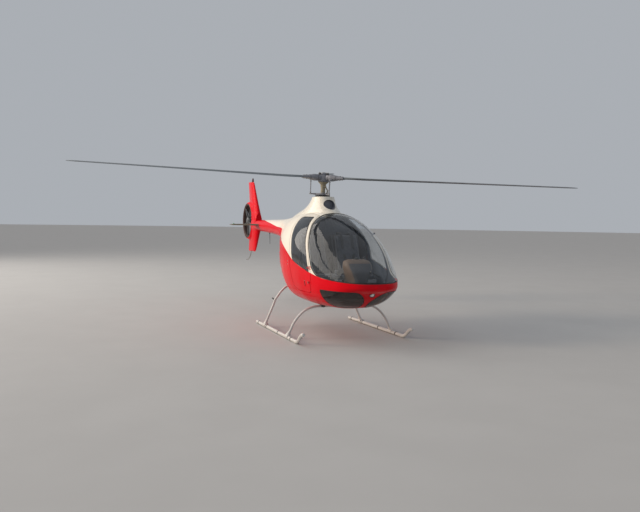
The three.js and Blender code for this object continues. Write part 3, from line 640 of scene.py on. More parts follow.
def make_piece(
    name: str, shape: Shape, body: Body, nodes: Sequence[str] = (), crease: float = 35.0
) -> bpy.types.Object:
    """Puts a shape into Blender as one piece on a body.

    Args:
        name: The piece's name.
        shape: Its points, faces and finishes.
        body: The body that it rides on.
        nodes: The CAD nodes that it stands for.
        crease: Faces that meet at more than this many degrees keep a crisp edge.

    Returns:
        The new object.
    """
    points = np.concatenate(shape.points).astype(float)
    mesh = bpy.data.meshes.new(name)
    lowered = points - (0.0, 0.0, BELLY)
    mesh.from_pydata(lowered, [], [row for rows in shape.faces for row in rows])
    mesh.polygons.foreach_set("material_index", np.concatenate(shape.slots))
    mesh.polygons.foreach_set("use_smooth", np.ones(len(mesh.polygons), bool))
    for coat in shape.coats:
        mesh.materials.append(coat.material)
    if Coat.PAINT in shape.coats:
        line = mesh.attributes.new("stripe", "FLOAT", "POINT")
        line.data.foreach_set("value", (points[:, 2] - stripe_height(points[:, 1])).astype(np.float32))
    mesh.update()
    mesh.set_sharp_from_angle(angle=math.radians(crease))
    made = bpy.data.objects.new(name, mesh)
    bpy.context.scene.collection.objects.link(made)
    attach(made, body.value)
    if nodes:
        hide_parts(*nodes)
    log.info("%s: %d faces on %s", name, len(mesh.polygons), body.value)
    return made


def grid_faces(rows: int, columns: int, closed: bool = False) -> Array:
    """Four-sided faces of a grid of points.

    Args:
        rows: Rows of points.
        columns: Points in a row.
        closed: Whether each row's last point joins its first.

    Returns:
        One row of four point numbers for each face.
    """
    i, j = np.meshgrid(np.arange(rows - 1), np.arange(columns if closed else columns - 1), indexing="ij")
    k = (j + 1) % columns
    return np.stack(
        [i * columns + j, i * columns + k, (i + 1) * columns + k, (i + 1) * columns + j], -1
    ).reshape(-1, 4)


def halved(quads: Array) -> Array:
    """Two triangles for each four-sided face."""
    return np.concatenate([quads[:, [0, 1, 2]], quads[:, [0, 2, 3]]])


def crosses(points: Array, faces: Array) -> Array:
    """Each triangle's cross product: square to it, and twice its area long."""
    return np.cross(points[faces[:, 1]] - points[faces[:, 0]], points[faces[:, 2]] - points[faces[:, 0]])


def faced(points: Array, faces: Array, outward: Array | Row) -> Array:
    """The triangles, turned over if they point the wrong way on the whole.

    Args:
        points: The points.
        faces: Triangles between them.
        outward: The right way, one for all or one for each.

    Returns:
        The triangles.
    """
    return faces[:, ::-1] if (crosses(points, faces) * outward).sum() < 0 else faces


def whole(faces: Array) -> Array:
    """Which triangles have three different corners."""
    return (faces != np.roll(faces, -1, axis=1)).all(axis=1)


def rim_faces(faces: Array, count: int) -> Array:
    """Four-sided faces from a sheet's free edge to its copy.

    Args:
        faces: The sheet's triangles.
        count: The sheet's number of points, by which its copy's numbers are higher.

    Returns:
        The rim's faces.
    """
    sides = np.concatenate([faces[:, [0, 1]], faces[:, [1, 2]], faces[:, [2, 0]]])
    key = sides[:, 0] * count + sides[:, 1]
    edge = sides[~np.isin(key, sides[:, 1] * count + sides[:, 0])]
    return np.stack([edge[:, 1], edge[:, 0], edge[:, 0] + count, edge[:, 1] + count], -1)


def run_along(line: Array) -> Array:
    """The length along a line up to each of its points."""
    return np.concatenate([[0], np.cumsum(np.linalg.norm(np.diff(line, axis=0), axis=1))])


def read_line(line: Array, run: Array, wanted: Array) -> Array:
    """A line's points at given lengths along it, by straight runs."""
    return np.stack([np.interp(wanted, run, column) for column in line.T], -1)


def foil(t: Array) -> Array:
    """Half thickness of a four-digit section at shares of its chord, for a thickness of one chord."""
    return 5 * (0.2969 * np.sqrt(t) - 0.126 * t - 0.3516 * t**2 + 0.2843 * t**3 - 0.1015 * t**4)


def signed_volume(points: Array, faces: Array) -> float:
    """Six times the volume that closed faces hold, negative where they point inwards.

    Formula: the sum of the triple products of each face's corners.

    Args:
        points: The points.
        faces: Faces of three or four sides.

    Returns:
        The volume times six.
    """
    a, b, c = points[faces[:, 0]], points[faces[:, 1]], points[faces[:, 2]]
    total = np.einsum("ij,ij->", a, np.cross(b, c))
    if faces.shape[1] == 4:
        total += np.einsum("ij,ij->", a, np.cross(c, points[faces[:, 3]]))
    return float(total)


def closed_rings(rings: Array, coat: Coat, shape: Shape | None = None) -> Shape:
    """A closed skin through rings of points, the last of which joins the first.

    Args:
        rings: An array of rings by points by 3.
        coat: The finish.
        shape: A shape to add it to.

    Returns:
        The shape.
    """
    count, sides = rings.shape[:2]
    i, j = np.meshgrid(np.arange(count), np.arange(sides), indexing="ij")
    k, m = (i + 1) % count, (j + 1) % sides
    faces = np.stack([i * sides + j, i * sides + m, k * sides + m, k * sides + j], -1).reshape(-1, 4)
    points = rings.reshape(-1, 3)
    if signed_volume(points, faces) < 0:
        faces = faces[:, ::-1]
    return (shape or Shape()).add(points, [faces], coat)


def loft(rings: Array, coat: Coat, shape: Shape | None = None) -> Shape:
    """A closed skin through rings of points, with a fan of faces over each end.

    Args:
        rings: An array of rings by points by 3.
        coat: The finish.
        shape: A shape to add it to.

    Returns:
        The shape.
    """
    count, sides = rings.shape[:2]
    points = np.concatenate([rings.reshape(-1, 3), rings[[0, -1]].mean(axis=1)])
    skin = grid_faces(count, sides, closed=True)
    a = np.arange(sides)
    b = (a + 1) % sides
    first = np.stack([b, a, np.full(sides, count * sides)], -1)
    end = (count - 1) * sides
    last = np.stack([a + end, b + end, np.full(sides, count * sides + 1)], -1)
    if signed_volume(points, skin) + signed_volume(points, first) + signed_volume(points, last) < 0:
        skin, first, last = skin[:, ::-1], first[:, ::-1], last[:, ::-1]
    return (shape or Shape()).add(points, [skin, first, last], coat)


def ellipse_ring(sides: int, power: float = 2.0) -> Array:
    """A unit superellipse: each coordinate is the sine or cosine to the power of 2 / power, with its sign kept.

    Args:
        sides: Number of points.
        power: 2 for an ellipse, more for a squarer shape.

    Returns:
        An array of points by 2.
    """
    a = np.arange(sides) * 2 * np.pi / sides
    pair = np.stack([np.cos(a), np.sin(a)], -1)
    return np.sign(pair) * np.abs(pair) ** (2 / power)


def smooth_path(points: Rows, count: int) -> Array:
    """A centripetal Catmull-Rom line through points, evenly resampled by length.

    Formula: between two points, three rounds of straight blends of the four nearest points, with knots
    spaced by the square root of the distances.

    Args:
        points: The points that it passes through.
        count: How many places it is given at.

    Returns:
        An array of count points.
    """
    p = np.asarray(points, float)
    p = np.concatenate([[2 * p[0] - p[1]], p, [2 * p[-1] - p[-2]]])
    knots = np.concatenate([[0], np.cumsum(np.sqrt(np.linalg.norm(np.diff(p, axis=0), axis=1)))])
    u = np.linspace(knots[1], knots[-2], 60 * len(p))
    i = np.clip(np.searchsorted(knots, u, side="right") - 1, 1, len(p) - 3)
    t = u[:, None]
    k = [knots[i + s][:, None] for s in (-1, 0, 1, 2)]
    q = [p[i + s] for s in (-1, 0, 1, 2)]
    for round_ in (1, 2):
        q = [
            ((k[s + round_] - t) * q[s] + (t - k[s]) * q[s + 1]) / (k[s + round_] - k[s])
            for s in range(4 - round_)
        ]
    line = ((k[2] - t) * q[0] + (t - k[1]) * q[1]) / (k[2] - k[1])
    run = run_along(line)
    return read_line(line, run, np.linspace(0, run[-1], count))


def frames_along(path: Array, up: Row = UP) -> tuple[Array, Array]:
    """Two directions across a path at each of its points.

    Formula: the first is the tangent's cross product with up, made a unit; the second is their cross
    product, so that neither turns about the path.

    Args:
        path: Points along it.
        up: A direction that the path never takes.

    Returns:
        The two directions at each point.
    """
    tangent = np.gradient(path, axis=0)
    tangent /= np.linalg.norm(tangent, axis=1, keepdims=True)
    across = np.cross(tangent, np.asarray(up, float))
    across /= np.linalg.norm(across, axis=1, keepdims=True)
    return across, np.cross(across, tangent)


def tube(
    path: Array, wide: Array | float, coat: Coat, shape: Shape | None = None,
    high: Array | float | None = None, sides: int = 20, power: float = 2.0, up: Row = UP
) -> Shape:
    """A closed tube along a path, whose section is a superellipse that may change along it.

    Args:
        path: Points along its middle.
        wide: Half width across the path, one or for each point.
        coat: The finish.
        shape: A shape to add it to.
        high: Half height, or the same as wide.
        sides: Points round the section.
        power: The section's power.
        up: A direction that the path never takes.

    Returns:
        The shape.
    """
    across, upward = frames_along(path, up)
    section = ellipse_ring(sides, power)
    a = np.broadcast_to(wide, len(path))[:, None, None] * section[None, :, :1]
    b = np.broadcast_to(wide if high is None else high, len(path))[:, None, None] * section[None, :, 1:]
    rings = path[:, None] + a * across[:, None] + b * upward[:, None]
    return loft(rings, coat, shape)


def spokes(toward: Row, sides: int) -> tuple[Array, Array]:
    """Unit directions all round an axis.

    Args:
        toward: The axis's direction.
        sides: How many.

    Returns:
        The axis's unit direction, and those round it.
    """
    toward = np.asarray(toward, float) / np.linalg.norm(toward)
    u = np.cross(toward, SIDEWAYS if abs(toward[0]) < 0.8 else UP)
    u /= np.linalg.norm(u)
    ring = ellipse_ring(sides)
    return toward, ring[:, :1] * u + ring[:, 1:] * np.cross(toward, u)


def turned(
    profile: Rows, start: Row, toward: Row, coat: Coat, shape: Shape | None = None, sides: int = 24
) -> Shape:
    """A solid of revolution: each pair of the profile is a radius and a distance along the axis.

    Args:
        profile: Radius and distance pairs, closed at its ends by flat faces.
        start: Where the axis starts.
        toward: The axis's direction.
        coat: The finish.
        shape: A shape to add it to.
        sides: Points round it.

    Returns:
        The shape.
    """
    toward, round_ = spokes(toward, sides)
    pairs = np.asarray(profile, float)
    rings = np.asarray(start, float) + pairs[:, :1, None] * round_[None] + pairs[:, 1:, None] * toward
    return loft(rings, coat, shape)


def rounded(radius: float, length: float, edge: float, steps: int = 4) -> list[tuple[float, float]]:
    """Profile of a cylinder whose two rims are rounded by quarter circles.

    Args:
        radius: The cylinder's radius.
        length: Its length.
        edge: Radius of the rims.
        steps: Points along each quarter circle.

    Returns:
        Pairs of radius and distance, for turned.
    """
    a = np.linspace(0, np.pi / 2, steps)
    start = list(zip(radius - edge + edge * np.sin(a), edge - edge * np.cos(a)))
    return start + [(r, length - z) for r, z in reversed(start)]


def slab(
    centre: Row, half: Row, coat: Coat, shape: Shape | None = None, edge: float = 0.004,
    turn: Array | None = None
) -> Shape:
    """A block with rounded edges.

    Formula: rings of a rounded rectangle, drawn in by a quarter circle towards the two ends.

    Args:
        centre: Its middle.
        half: Half its size along each axis.
        coat: The finish.
        shape: A shape to add it to.
        edge: Radius of the edges.
        turn: A 3 by 3 matrix that turns it about its middle.

    Returns:
        The shape.
    """
    hx, hy, hz = half
    corner = np.linspace(0, np.pi / 2, 4)
    quarters = []
    for q, (sx, sy) in enumerate(((1, 1), (-1, 1), (-1, -1), (1, -1))):
        a = corner + q * np.pi / 2
        quarters.append(
            np.stack([sx * (hx - edge) + edge * np.cos(a), sy * (hy - edge) + edge * np.sin(a)], -1)
        )
    ring = np.concatenate(quarters)
    levels = [(-hz + edge - edge * np.cos(a), edge - edge * np.sin(a)) for a in corner]
    levels += [(-z, inset) for z, inset in reversed(levels)]
    rings = []
    for z, inset in levels:
        scale = (np.array([hx, hy]) - inset) / np.array([hx, hy])
        rings.append(np.column_stack([ring * scale, np.full(len(ring), z)]))
    points = np.array(rings)
    if turn is not None:
        points = points @ turn.T
    return loft(points + np.asarray(centre, float), coat, shape)


def round_outline(corners: Rows, steps: int = 7) -> Array:
    """A closed outline whose corners are replaced by parabolas.

    Formula: each corner gives way to a curve from one point at the corner's radius before it to another at
    the same distance after it, with the corner as its control point.

    Args:
        corners: Rows of two coordinates and a radius, in millimetres.
        steps: Points along each curve.

    Returns:
        The outline's points in metres.
    """
    table = np.asarray(corners, float) / 1000
    p, radius = table[:, :2], table[:, 2]
    back, ahead = np.roll(p, 1, axis=0) - p, np.roll(p, -1, axis=0) - p
    lb, la = np.linalg.norm(back, axis=1), np.linalg.norm(ahead, axis=1)
    r = np.minimum(radius, np.minimum(0.45 * lb, 0.45 * la))
    start, end = p + back / lb[:, None] * r[:, None], p + ahead / la[:, None] * r[:, None]
    t = np.linspace(0, 1, steps)[None, :, None]
    return ((1 - t) ** 2 * start[:, None] + 2 * t * (1 - t) * p[:, None] + t**2 * end[:, None]).reshape(-1, 2)


def depth_in(outline: Array, places: Array) -> Array:
    """How far points lie inside an outline, negative where they lie outside it.

    Formula: the least distance to any side, with its sign from the number of sides that a level line to
    the right crosses.

    Args:
        outline: The outline's corners.
        places: The points, by 2.

    Returns:
        One distance for each point.
    """
    a = outline
    b = np.roll(outline, -1, axis=0)
    keep = np.linalg.norm(b - a, axis=1) > 1e-9
    a, b = a[keep], b[keep]
    result = np.empty(len(places))
    for start in range(0, len(places), 20000):
        q = places[start : start + 20000, None]
        side = b - a
        t = np.clip(((q - a) * side).sum(-1) / (side**2).sum(-1), 0, 1)
        gap = np.linalg.norm(q - a - t[..., None] * side, axis=-1).min(axis=1)
        above = (a[:, 1] > q[..., 1]) != (b[:, 1] > q[..., 1])
        rise = np.where(np.abs(side[:, 1]) < 1e-12, 1e-12, side[:, 1])
        crossing = a[:, 0] + (q[..., 1] - a[:, 1]) / rise * side[:, 0]
        odd = (above & (q[..., 0] < crossing)).sum(axis=1) % 2 == 1
        result[start : start + 20000] = np.where(odd, gap, -gap)
    return result


def slope_at(field_: Field, spots: Array, here: Array, step: float) -> Array:
    """A field's slope in the plane, by a small step forward each way.

    Args:
        field_: Takes points of the plane to the field's values.
        spots: Where the slope is wanted.
        here: The field's values there.
        step: The step.

    Returns:
        One slope for each spot.
    """
    return np.stack([(field_(spots + shift) - here) / step for shift in ((step, 0.0), (0.0, step))], -1)


@dataclass
class Net:
    """Triangles in the plane of a surface's two parameters."""

    uv: Array
    faces: Array

    @staticmethod
    def grid(u: Array, v: Array) -> "Net":
        """A net on every pair of a row value and a value from that row.

        Args:
            u: The rows' values.
            v: The values in each row, an array of rows by columns.

        Returns:
            The net.
        """
        rows, columns = v.shape
        uv = np.stack([np.broadcast_to(u[:, None], v.shape), v], -1).reshape(-1, 2)
        return Net(uv, halved(grid_faces(rows, columns)))

    def cut(self, place: Place, wanted: Field, snap: float = 0.004) -> "Net":
        """Keeps the part of the net where a field is positive.

        Formula: points nearer the edge than snap move onto it down the field's slope, unless that would turn
        a triangle over; then each side that crosses the edge is split where the field, followed by four
        rounds of false position, is zero.

        Args:
            place: Takes parameters to points.
            wanted: Takes points to the field's values, in metres.
            snap: The distance that a point may move.

        Returns:
            The kept part.
        """
        uv = self.uv.copy()
        value = wanted(place(uv))
        near = np.flatnonzero(np.abs(value) < snap)
        if len(near):
            step = 1e-5
            for _ in range(3):
                spot = uv[near]
                here = wanted(place(spot))
                slope = slope_at(lambda uv: wanted(place(uv)), spot, here, step)
                size = np.maximum((slope**2).sum(-1, keepdims=True), 0.05)
                uv[near] = spot - np.clip(here[:, None] * slope / size, -snap * 3, snap * 3)
            value[near] = wanted(place(uv[near]))
            value[near[np.abs(value[near]) < 1e-4]] = 0.0
            before = self.areas(self.uv)
            for _ in range(4):
                folded = np.unique(self.faces[self.areas(uv) * np.sign(before) < 0.12 * np.abs(before)])
                folded = folded[(uv[folded] != self.uv[folded]).any(axis=1)]
                if not len(folded):
                    break
                uv[folded] = self.uv[folded]
                value[folded] = wanted(place(uv[folded]))
        inside = value[self.faces] >= 0
        count = inside.sum(axis=1)
        kept, cuts = [self.faces[count == 3]], []
        for number, odd in ((1, True), (2, False)):
            rows = self.faces[count == number]
            first = np.argmax(inside[count == number] == odd, axis=1)
            cuts.append(np.take_along_axis(rows, (first[:, None] + np.arange(3)) % 3, axis=1))
        corners = np.concatenate(cuts)
        sides = np.concatenate([corners[:, [0, 1]], corners[:, [0, 2]]])
        unique, inverse = np.unique(np.sort(sides, axis=1), axis=0, return_inverse=True)
        inverse = inverse.reshape(-1) + len(uv)
        keeps = value[unique[:, 0]] >= 0
        a = np.where(keeps[:, None], uv[unique[:, 0]], uv[unique[:, 1]])
        b = np.where(keeps[:, None], uv[unique[:, 1]], uv[unique[:, 0]])
        fa = np.where(keeps, value[unique[:, 0]], value[unique[:, 1]])
        fb = np.where(keeps, value[unique[:, 1]], value[unique[:, 0]])
        middle = a
        for _ in range(4):
            t = np.clip(fa / np.maximum(fa - fb, 1e-12), 0, 1)[:, None]
            middle = a + t * (b - a)
            fm = wanted(place(middle)) if len(middle) else fa
            good = (fm >= 0)[:, None]
            a, b = np.where(good, middle, a), np.where(good, b, middle)
            fa, fb = np.where(good[:, 0], fm, fa), np.where(good[:, 0], fb, fm)
        ab, ac = inverse[: len(corners)], inverse[len(corners) :]
        ones, n = slice(0, len(cuts[0])), len(cuts[0])
        kept.append(np.stack([corners[ones, 0], ab[ones], ac[ones]], -1))
        kept.append(np.stack([ab[n:], corners[n:, 1], corners[n:, 2]], -1))
        kept.append(np.stack([ab[n:], corners[n:, 2], ac[n:]], -1))
        return Net(np.concatenate([uv, middle]), np.concatenate(kept)).tidy()

    def areas(self, uv: Array) -> Array:
        """Twice each face's signed area in the plane of the parameters."""
        a, b, c = (uv[self.faces[:, corner]] for corner in range(3))
        return (b[:, 0] - a[:, 0]) * (c[:, 1] - a[:, 1]) - (b[:, 1] - a[:, 1]) * (c[:, 0] - a[:, 0])

    def tidy(self) -> "Net":
        """Drops the points that no face uses and the faces that have shrunk to a line."""
        used, renumbered = np.unique(self.faces[whole(self.faces)], return_inverse=True)
        return Net(self.uv[used], renumbered.reshape(-1, 3))


def weld(points: Array, faces: Array) -> tuple[Array, Array]:
    """Makes one point of those that lie within a hundredth of a millimetre, and drops faces that vanish.

    Args:
        points: The points.
        faces: Triangles between them.

    Returns:
        The points and faces that are left.
    """
    _, first, same = np.unique(np.round(points, 5), axis=0, return_index=True, return_inverse=True)
    faces = same.reshape(-1)[faces]
    return points[first], faces[whole(faces)]


def point_normals(points: Array, faces: Array) -> Array:
    """A unit normal at each point: the sum of its faces' cross products, made a unit.

    Args:
        points: The points.
        faces: Triangles between them.

    Returns:
        The normals.
    """
    cross = crosses(points, faces)
    total = np.zeros_like(points)
    for corner in range(3):
        np.add.at(total, faces[:, corner], cross)
    return total / np.maximum(np.linalg.norm(total, axis=1, keepdims=True), 1e-12)


def panel(
    points: Array, faces: Array, thick: float | Array, outside: Coat, inside: Coat | None = None,
    shape: Shape | None = None, proud: float = 0.0
) -> Shape:
    """A sheet with a wall: the outer face, a copy set in along the normals, and a rim between their edges.

    Args:
        points: Points of the outer face.
        faces: Its triangles, facing out.
        thick: The wall, one or for each point.
        outside: Finish of the outer face and the rim.
        inside: Finish of the inner face.
        shape: A shape to add it to.
        proud: How far the outer face is first moved out.

    Returns:
        The shape.
    """
    normals = point_normals(points, faces)
    outer = points + proud * normals
    inner = outer - np.reshape(thick, (-1, 1)) * normals
    n = len(points)
    shape = (shape or Shape()).add(np.concatenate([outer, inner]), [faces, rim_faces(faces, n)], outside)
    shape.face(faces[:, ::-1] + shape.count - n, inside or outside)
    return shape


@dataclass
class Skin:
    """The outside of the body, from the nose to the boom's end.

    Formula: at each place along Y a section with its own half width, top, bottom and widest height; x is the
    half width times a power of the cosine, and z the height above or below the widest place times a power
    of the sine. Piecewise cubics that never overshoot carry each number along Y.
    """

    sections: Rows = (
        (-1860, 20, 800, 765, 780, 2.0, 2.0),
        (-1820, 190, 900, 735, 780, 2.0, 2.0),
        (-1740, 310, 1000, 700, 780, 2.0, 2.0),
        (-1600, 420, 1140, 600, 790, 2.0, 2.1),
        (-1400, 500, 1297, 490, 830, 2.0, 2.3),
        (-1150, 565, 1455, 445, 910, 2.1, 2.7),
        (-900, 600, 1576, 433, 1000, 2.1, 3.0),
        (-600, 620, 1688, 430, 1080, 2.1, 3.3),
        (-300, 620, 1745, 430, 1120, 2.1, 3.3),
        (0, 605, 1765, 432, 1140, 2.1, 3.2),
        (300, 560, 1757, 460, 1170, 2.1, 2.8),
        (600, 480, 1730, 545, 1220, 2.1, 2.5),
        (900, 375, 1697, 705, 1290, 2.1, 2.3),
        (1200, 270, 1665, 940, 1370, 2.1, 2.2),
        (1500, 190, 1642, 1180, 1445, 2.1, 2.0),
        (1750, 165, 1628, 1305, 1475, 2.0, 2.0),
        (3400, 105, 1612, 1405, 1515, 2.0, 2.0),
    )
    columns: int = 241
    spacing: float = 0.017
    nose: float = -1.86

    def __post_init__(self) -> None:
        """Works out the cubics' slopes: a weighted harmonic mean of the two runs, or none at a peak."""
        table = np.asarray(self.sections, float)
        table[:, :5] /= 1000
        self.knots, self.values = table[:, 0], table[:, 1:]
        gap = np.diff(self.knots)[:, None]
        slope = np.diff(self.values, axis=0) / gap
        a, b, h0, h1 = slope[:-1], slope[1:], gap[:-1], gap[1:]
        with np.errstate(divide="ignore", invalid="ignore"):
            mean = 3 * (h0 + h1) / ((2 * h1 + h0) / a + (h1 + 2 * h0) / b)
        inner = np.where(a * b > 0, mean, 0.0)
        self.slopes = np.concatenate([slope[:1], inner, slope[-1:]])

    def numbers(self, y: Array) -> Array:
        """The section's six numbers at places along Y, from the cubics.

        Args:
            y: The places.

        Returns:
            An array of places by 6.
        """
        i = np.clip(np.searchsorted(self.knots, y, side="right") - 1, 0, len(self.knots) - 2)
        h = (self.knots[i + 1] - self.knots[i])[:, None]
        t = ((y - self.knots[i])[:, None]) / h
        v0, v1, m0, m1 = self.values[i], self.values[i + 1], self.slopes[i], self.slopes[i + 1]
        near = v0 * (1 + 2 * t) * (1 - t) ** 2 + m0 * h * t * (1 - t) ** 2
        return near + v1 * t * t * (3 - 2 * t) + m1 * h * t * t * (t - 1)

    def at(self, uv: Array) -> Array:
        """Points of the skin.

        Formula: see the class; ahead of the nose's first section the ring shrinks to a point in a
        quarter of a circle.

        Args:
            uv: Places along Y, and angles up from the left-hand side.

        Returns:
            The points.
        """
        y = np.maximum(uv[:, 0], self.nose)
        half, top, bottom, widest, above, below = self.numbers(y).T
        c, s = np.cos(uv[:, 1]), np.sin(uv[:, 1])
        power = 2 / np.where(s >= 0, above, below)
        height = np.where(s >= 0, top - widest, widest - bottom)
        ahead = np.clip((self.nose - uv[:, 0]) / 0.004, 0, 1)
        shrink = np.sqrt(1 - ahead**2)
        x = shrink * half * np.sign(c) * np.abs(c) ** power
        z = widest + shrink * height * np.sign(s) * np.abs(s) ** power
        return np.stack([x, np.minimum(y, uv[:, 0]), z], -1)

    def net(self, start: float, end: float) -> Net:
        """A net of even pace over the skin.

        Formula: rows follow the length of a line whose steps join those of Y, the half width, the top and
        the bottom; points in a row follow the length of its ring.

        Args:
            start: Where it starts along Y.
            end: Where it ends.

        Returns:
            The net, in Y and angle.
        """
        dense = np.linspace(max(start, self.nose), end, 3000)
        values = self.numbers(dense)[:, :3]
        run = run_along(np.column_stack([dense, values]))
        rows = np.interp(np.linspace(0, run[-1], max(3, int(run[-1] / self.spacing))), run, dense)
        if start <= self.nose:
            rows = np.concatenate([self.nose - 0.004 * np.array([1.0, 0.95, 0.8, 0.5]), rows])
        fine = np.linspace(-np.pi / 2, 1.5 * np.pi, 1441)
        angles = []
        for y in rows:
            ring = self.at(np.column_stack([np.full(len(fine), max(y, self.nose)), fine]))
            length = run_along(ring)
            angles.append(np.interp(np.linspace(0, length[-1], self.columns), length, fine))
        return Net.grid(rows, np.array(angles))

    def region(self, start: float, end: float, *wanted: Field) -> tuple[Array, Array]:
        """The part of the skin where every field is positive.

        Args:
            start: Where it starts along Y.
            end: Where it ends.
            wanted: The fields, each applied in turn.

        Returns:
            Points and triangles that face out.
        """
        net = self.net(start, end)
        for one in wanted:
            net = net.cut(self.at, one)
        points, faces = weld(self.at(net.uv), net.faces)
        middle = points[faces].mean(axis=1)
        axis_point = np.column_stack([np.zeros(len(middle)), middle[:, 1], self.numbers(middle[:, 1])[:, 3]])
        return points, faced(points, faces, middle - axis_point)

    def side_point(self, y: Array, z: Array, sign: int) -> Array:
        """The skin's point at a place and height seen from the side.

        Formula: the section's equation solved for the half width at that height.

        Args:
            y: Places along Y.
            z: Heights.
            sign: Which side.

        Returns:
            The points.
        """
        half, top, bottom, widest, above, below = self.numbers(np.asarray(y, float)).T
        up = z >= widest
        share = np.clip(np.where(up, (z - widest) / (top - widest), (widest - z) / (widest - bottom)), 0, 1)
        power = np.where(up, above, below)
        return np.stack([sign * half * (1 - share**power) ** (1 / power), y, z], -1)

    def roof(self, p: Array) -> Array:
        """Height of the skin's upper half at each point's place, from the section's equation."""
        half, top, _, widest, above, _ = self.numbers(p[:, 1]).T
        share = np.clip(np.abs(p[:, 0]) / half, 0, 1)
        return widest + (top - widest) * (1 - share**above) ** (1 / above)

    def side_normal(self, y: Array, z: Array, sign: int) -> Array:
        """Outward unit normals there, from the cross product of two small steps."""
        step = 0.002
        along = self.side_point(y + step, z, sign) - self.side_point(y - step, z, sign)
        up = self.side_point(y, z + step, sign) - self.side_point(y, z - step, sign)
        normal = np.cross(along, up) * sign
        return normal / np.linalg.norm(normal, axis=1, keepdims=True)


SKIN = Skin()


def within(outline: Array, grow: float = 0.0) -> Field:
    """A field that is positive inside a side outline grown by a distance."""
    return lambda p: depth_in(outline, p[:, 1:]) + grow


def outside(outline: Array, grow: float = 0.0, near: float = 0.0) -> Field:
    """A field that is positive outside a side outline grown by a distance, or nearer the middle than near.

    Formula: the lesser of the depth in the outline and the distance beyond near, with its sign turned.
    """
    return lambda p: -np.minimum(depth_in(outline, p[:, 1:]) + grow, np.abs(p[:, 0]) - near)


def on_side(sign: int, near: float = 0.0) -> Field:
    """A field that is positive beyond a distance from the middle, on one side."""
    return lambda p: sign * p[:, 0] - near


def sheet(
    span: tuple[float, float], fields: Sequence[Field], thick: float, outside: Coat,
    inside: Coat | None = None, shape: Shape | None = None, proud: float = 0.0
) -> Shape:
    """A panel on the part of the body's skin where every field is positive.

    Args:
        span: Where it starts and ends along Y.
        fields: The fields, each applied in turn.
        thick: The wall.
        outside: Finish of the outer face and the rim.
        inside: Finish of the inner face.
        shape: A shape to add it to.
        proud: How far the outer face is first moved out.

    Returns:
        The shape.
    """
    points, faces = SKIN.region(*span, *fields)
    return panel(points, faces, thick, outside, inside, shape, proud)


def studs(places: Array, normals: Array, radius: float, high: float, coat: Coat, shape: Shape) -> Shape:
    """Low domed fasteners on a surface.

    Formula: rings of 10 points at three heights over each place, with a point on top, for all the places
    at once.

    Args:
        places: Where they sit.
        normals: Which way each faces.
        radius: Their radius.
        high: Their height.
        coat: The finish.
        shape: A shape to add them to.

    Returns:
        The shape.
    """
    helper = np.where(np.abs(normals[:, [2]]) < 0.9, np.array([[0, 0, 1.0]]), np.array([[1.0, 0, 0]]))
    u = np.cross(normals, helper)
    u /= np.linalg.norm(u, axis=1, keepdims=True)
    v = np.cross(normals, u)
    ring = ellipse_ring(10)
    round_ = ring[None, :, :1] * u[:, None] + ring[None, :, 1:] * v[:, None]
    levels = ((1.0, -0.002), (1.0, 0.5 * high), (0.75, high))
    rings = [places[:, None] + r * radius * round_ + h * normals[:, None] for r, h in levels]
    points = np.concatenate(
        [
            np.stack(rings, 1).reshape(len(places), -1, 3), (places - 0.002 * normals)[:, None],
            (places + high * normals)[:, None]
        ],
        axis=1
    )
    skin = grid_faces(3, 10, closed=True)
    a = np.arange(10)
    b = (a + 1) % 10
    lid = np.stack([a + 20, b + 20, np.full(10, 31)], -1)
    base = np.stack([b, a, np.full(10, 30)], -1)
    if signed_volume(points[0], skin) + signed_volume(points[0], lid) + signed_volume(points[0], base) < 0:
        skin, lid, base = skin[:, ::-1], lid[:, ::-1], base[:, ::-1]
    shift = (np.arange(len(places)) * 32)[:, None, None]
    return shape.add(
        points.reshape(-1, 3),
        [(part[None] + shift).reshape(-1, part.shape[1]) for part in (skin, lid, base)], coat
    )


def along_outline(outline: Array, pace: float) -> Array:
    """Places at an even pace along a closed outline.

    Args:
        outline: Its corners.
        pace: The distance between two places.

    Returns:
        The places, by 2.
    """
    loop = np.concatenate([outline, outline[:1]])
    run = run_along(loop)
    count = max(4, int(round(run[-1] / pace)))
    return read_line(loop, run, np.linspace(0, run[-1], count, endpoint=False))


def shrunk(outline: Array, inset: float) -> Array:
    """The outline moved inwards.

    Formula: each even place moves by the inset against the slope of the depth in the outline.

    Args:
        outline: Its corners.
        inset: How far.

    Returns:
        The moved outline.
    """
    places = along_outline(outline, 0.02)
    step = 1e-4
    for _ in range(2):
        here = depth_in(outline, places)
        shifts = np.array([[step, 0], [0, step]])
        rise = [depth_in(outline, places + shift) - depth_in(outline, places - shift) for shift in shifts]
        slope = np.stack(rise, -1) / (2 * step)
        steep = np.maximum(np.linalg.norm(slope, axis=1, keepdims=True), 0.5)
        places = places + (inset - here)[:, None] * slope / steep
    return places


# Outlines in millimetres, as rows of Y, Z and corner radius, but for the chin window's front outline, whose
# rows start with X. The cabin and its doors share them.
WINDSHIELD_EDGE = round_outline(
    (
        (-440, 1900, 0),
        (-450, 1715, 60),
        (-740, 1425, 60),
        (-962, 1140, 60),
        (-1062, 975, 90),
        (-1180, 893, 50),
        (-1400, 862, 60),
        (-1700, 838, 60),
        (-2000, 822, 0),
        (-2000, 1900, 0),
    )
)
DOOR_WINDOW = round_outline(
    (
        (-415, 1662, 30), (-650, 1453, 60), (-885, 1150, 60), (-1000, 925, 30), (-720, 990, 60),
        (-395, 1060, 70), (-325, 1262, 60), (-60, 1668, 70)
    )
)
DOOR_EDGE = round_outline(
    (
        (-425, 1702, 30),
        (-690, 1470, 60),
        (-925, 1158, 60),
        (-1045, 900, 40),
        (-985, 650, 70),
        (-420, 650, 110),
        (-290, 1000, 60),
        (-262, 1245, 60),
        (-20, 1640, 90),
        (-95, 1706, 50),
    )
)
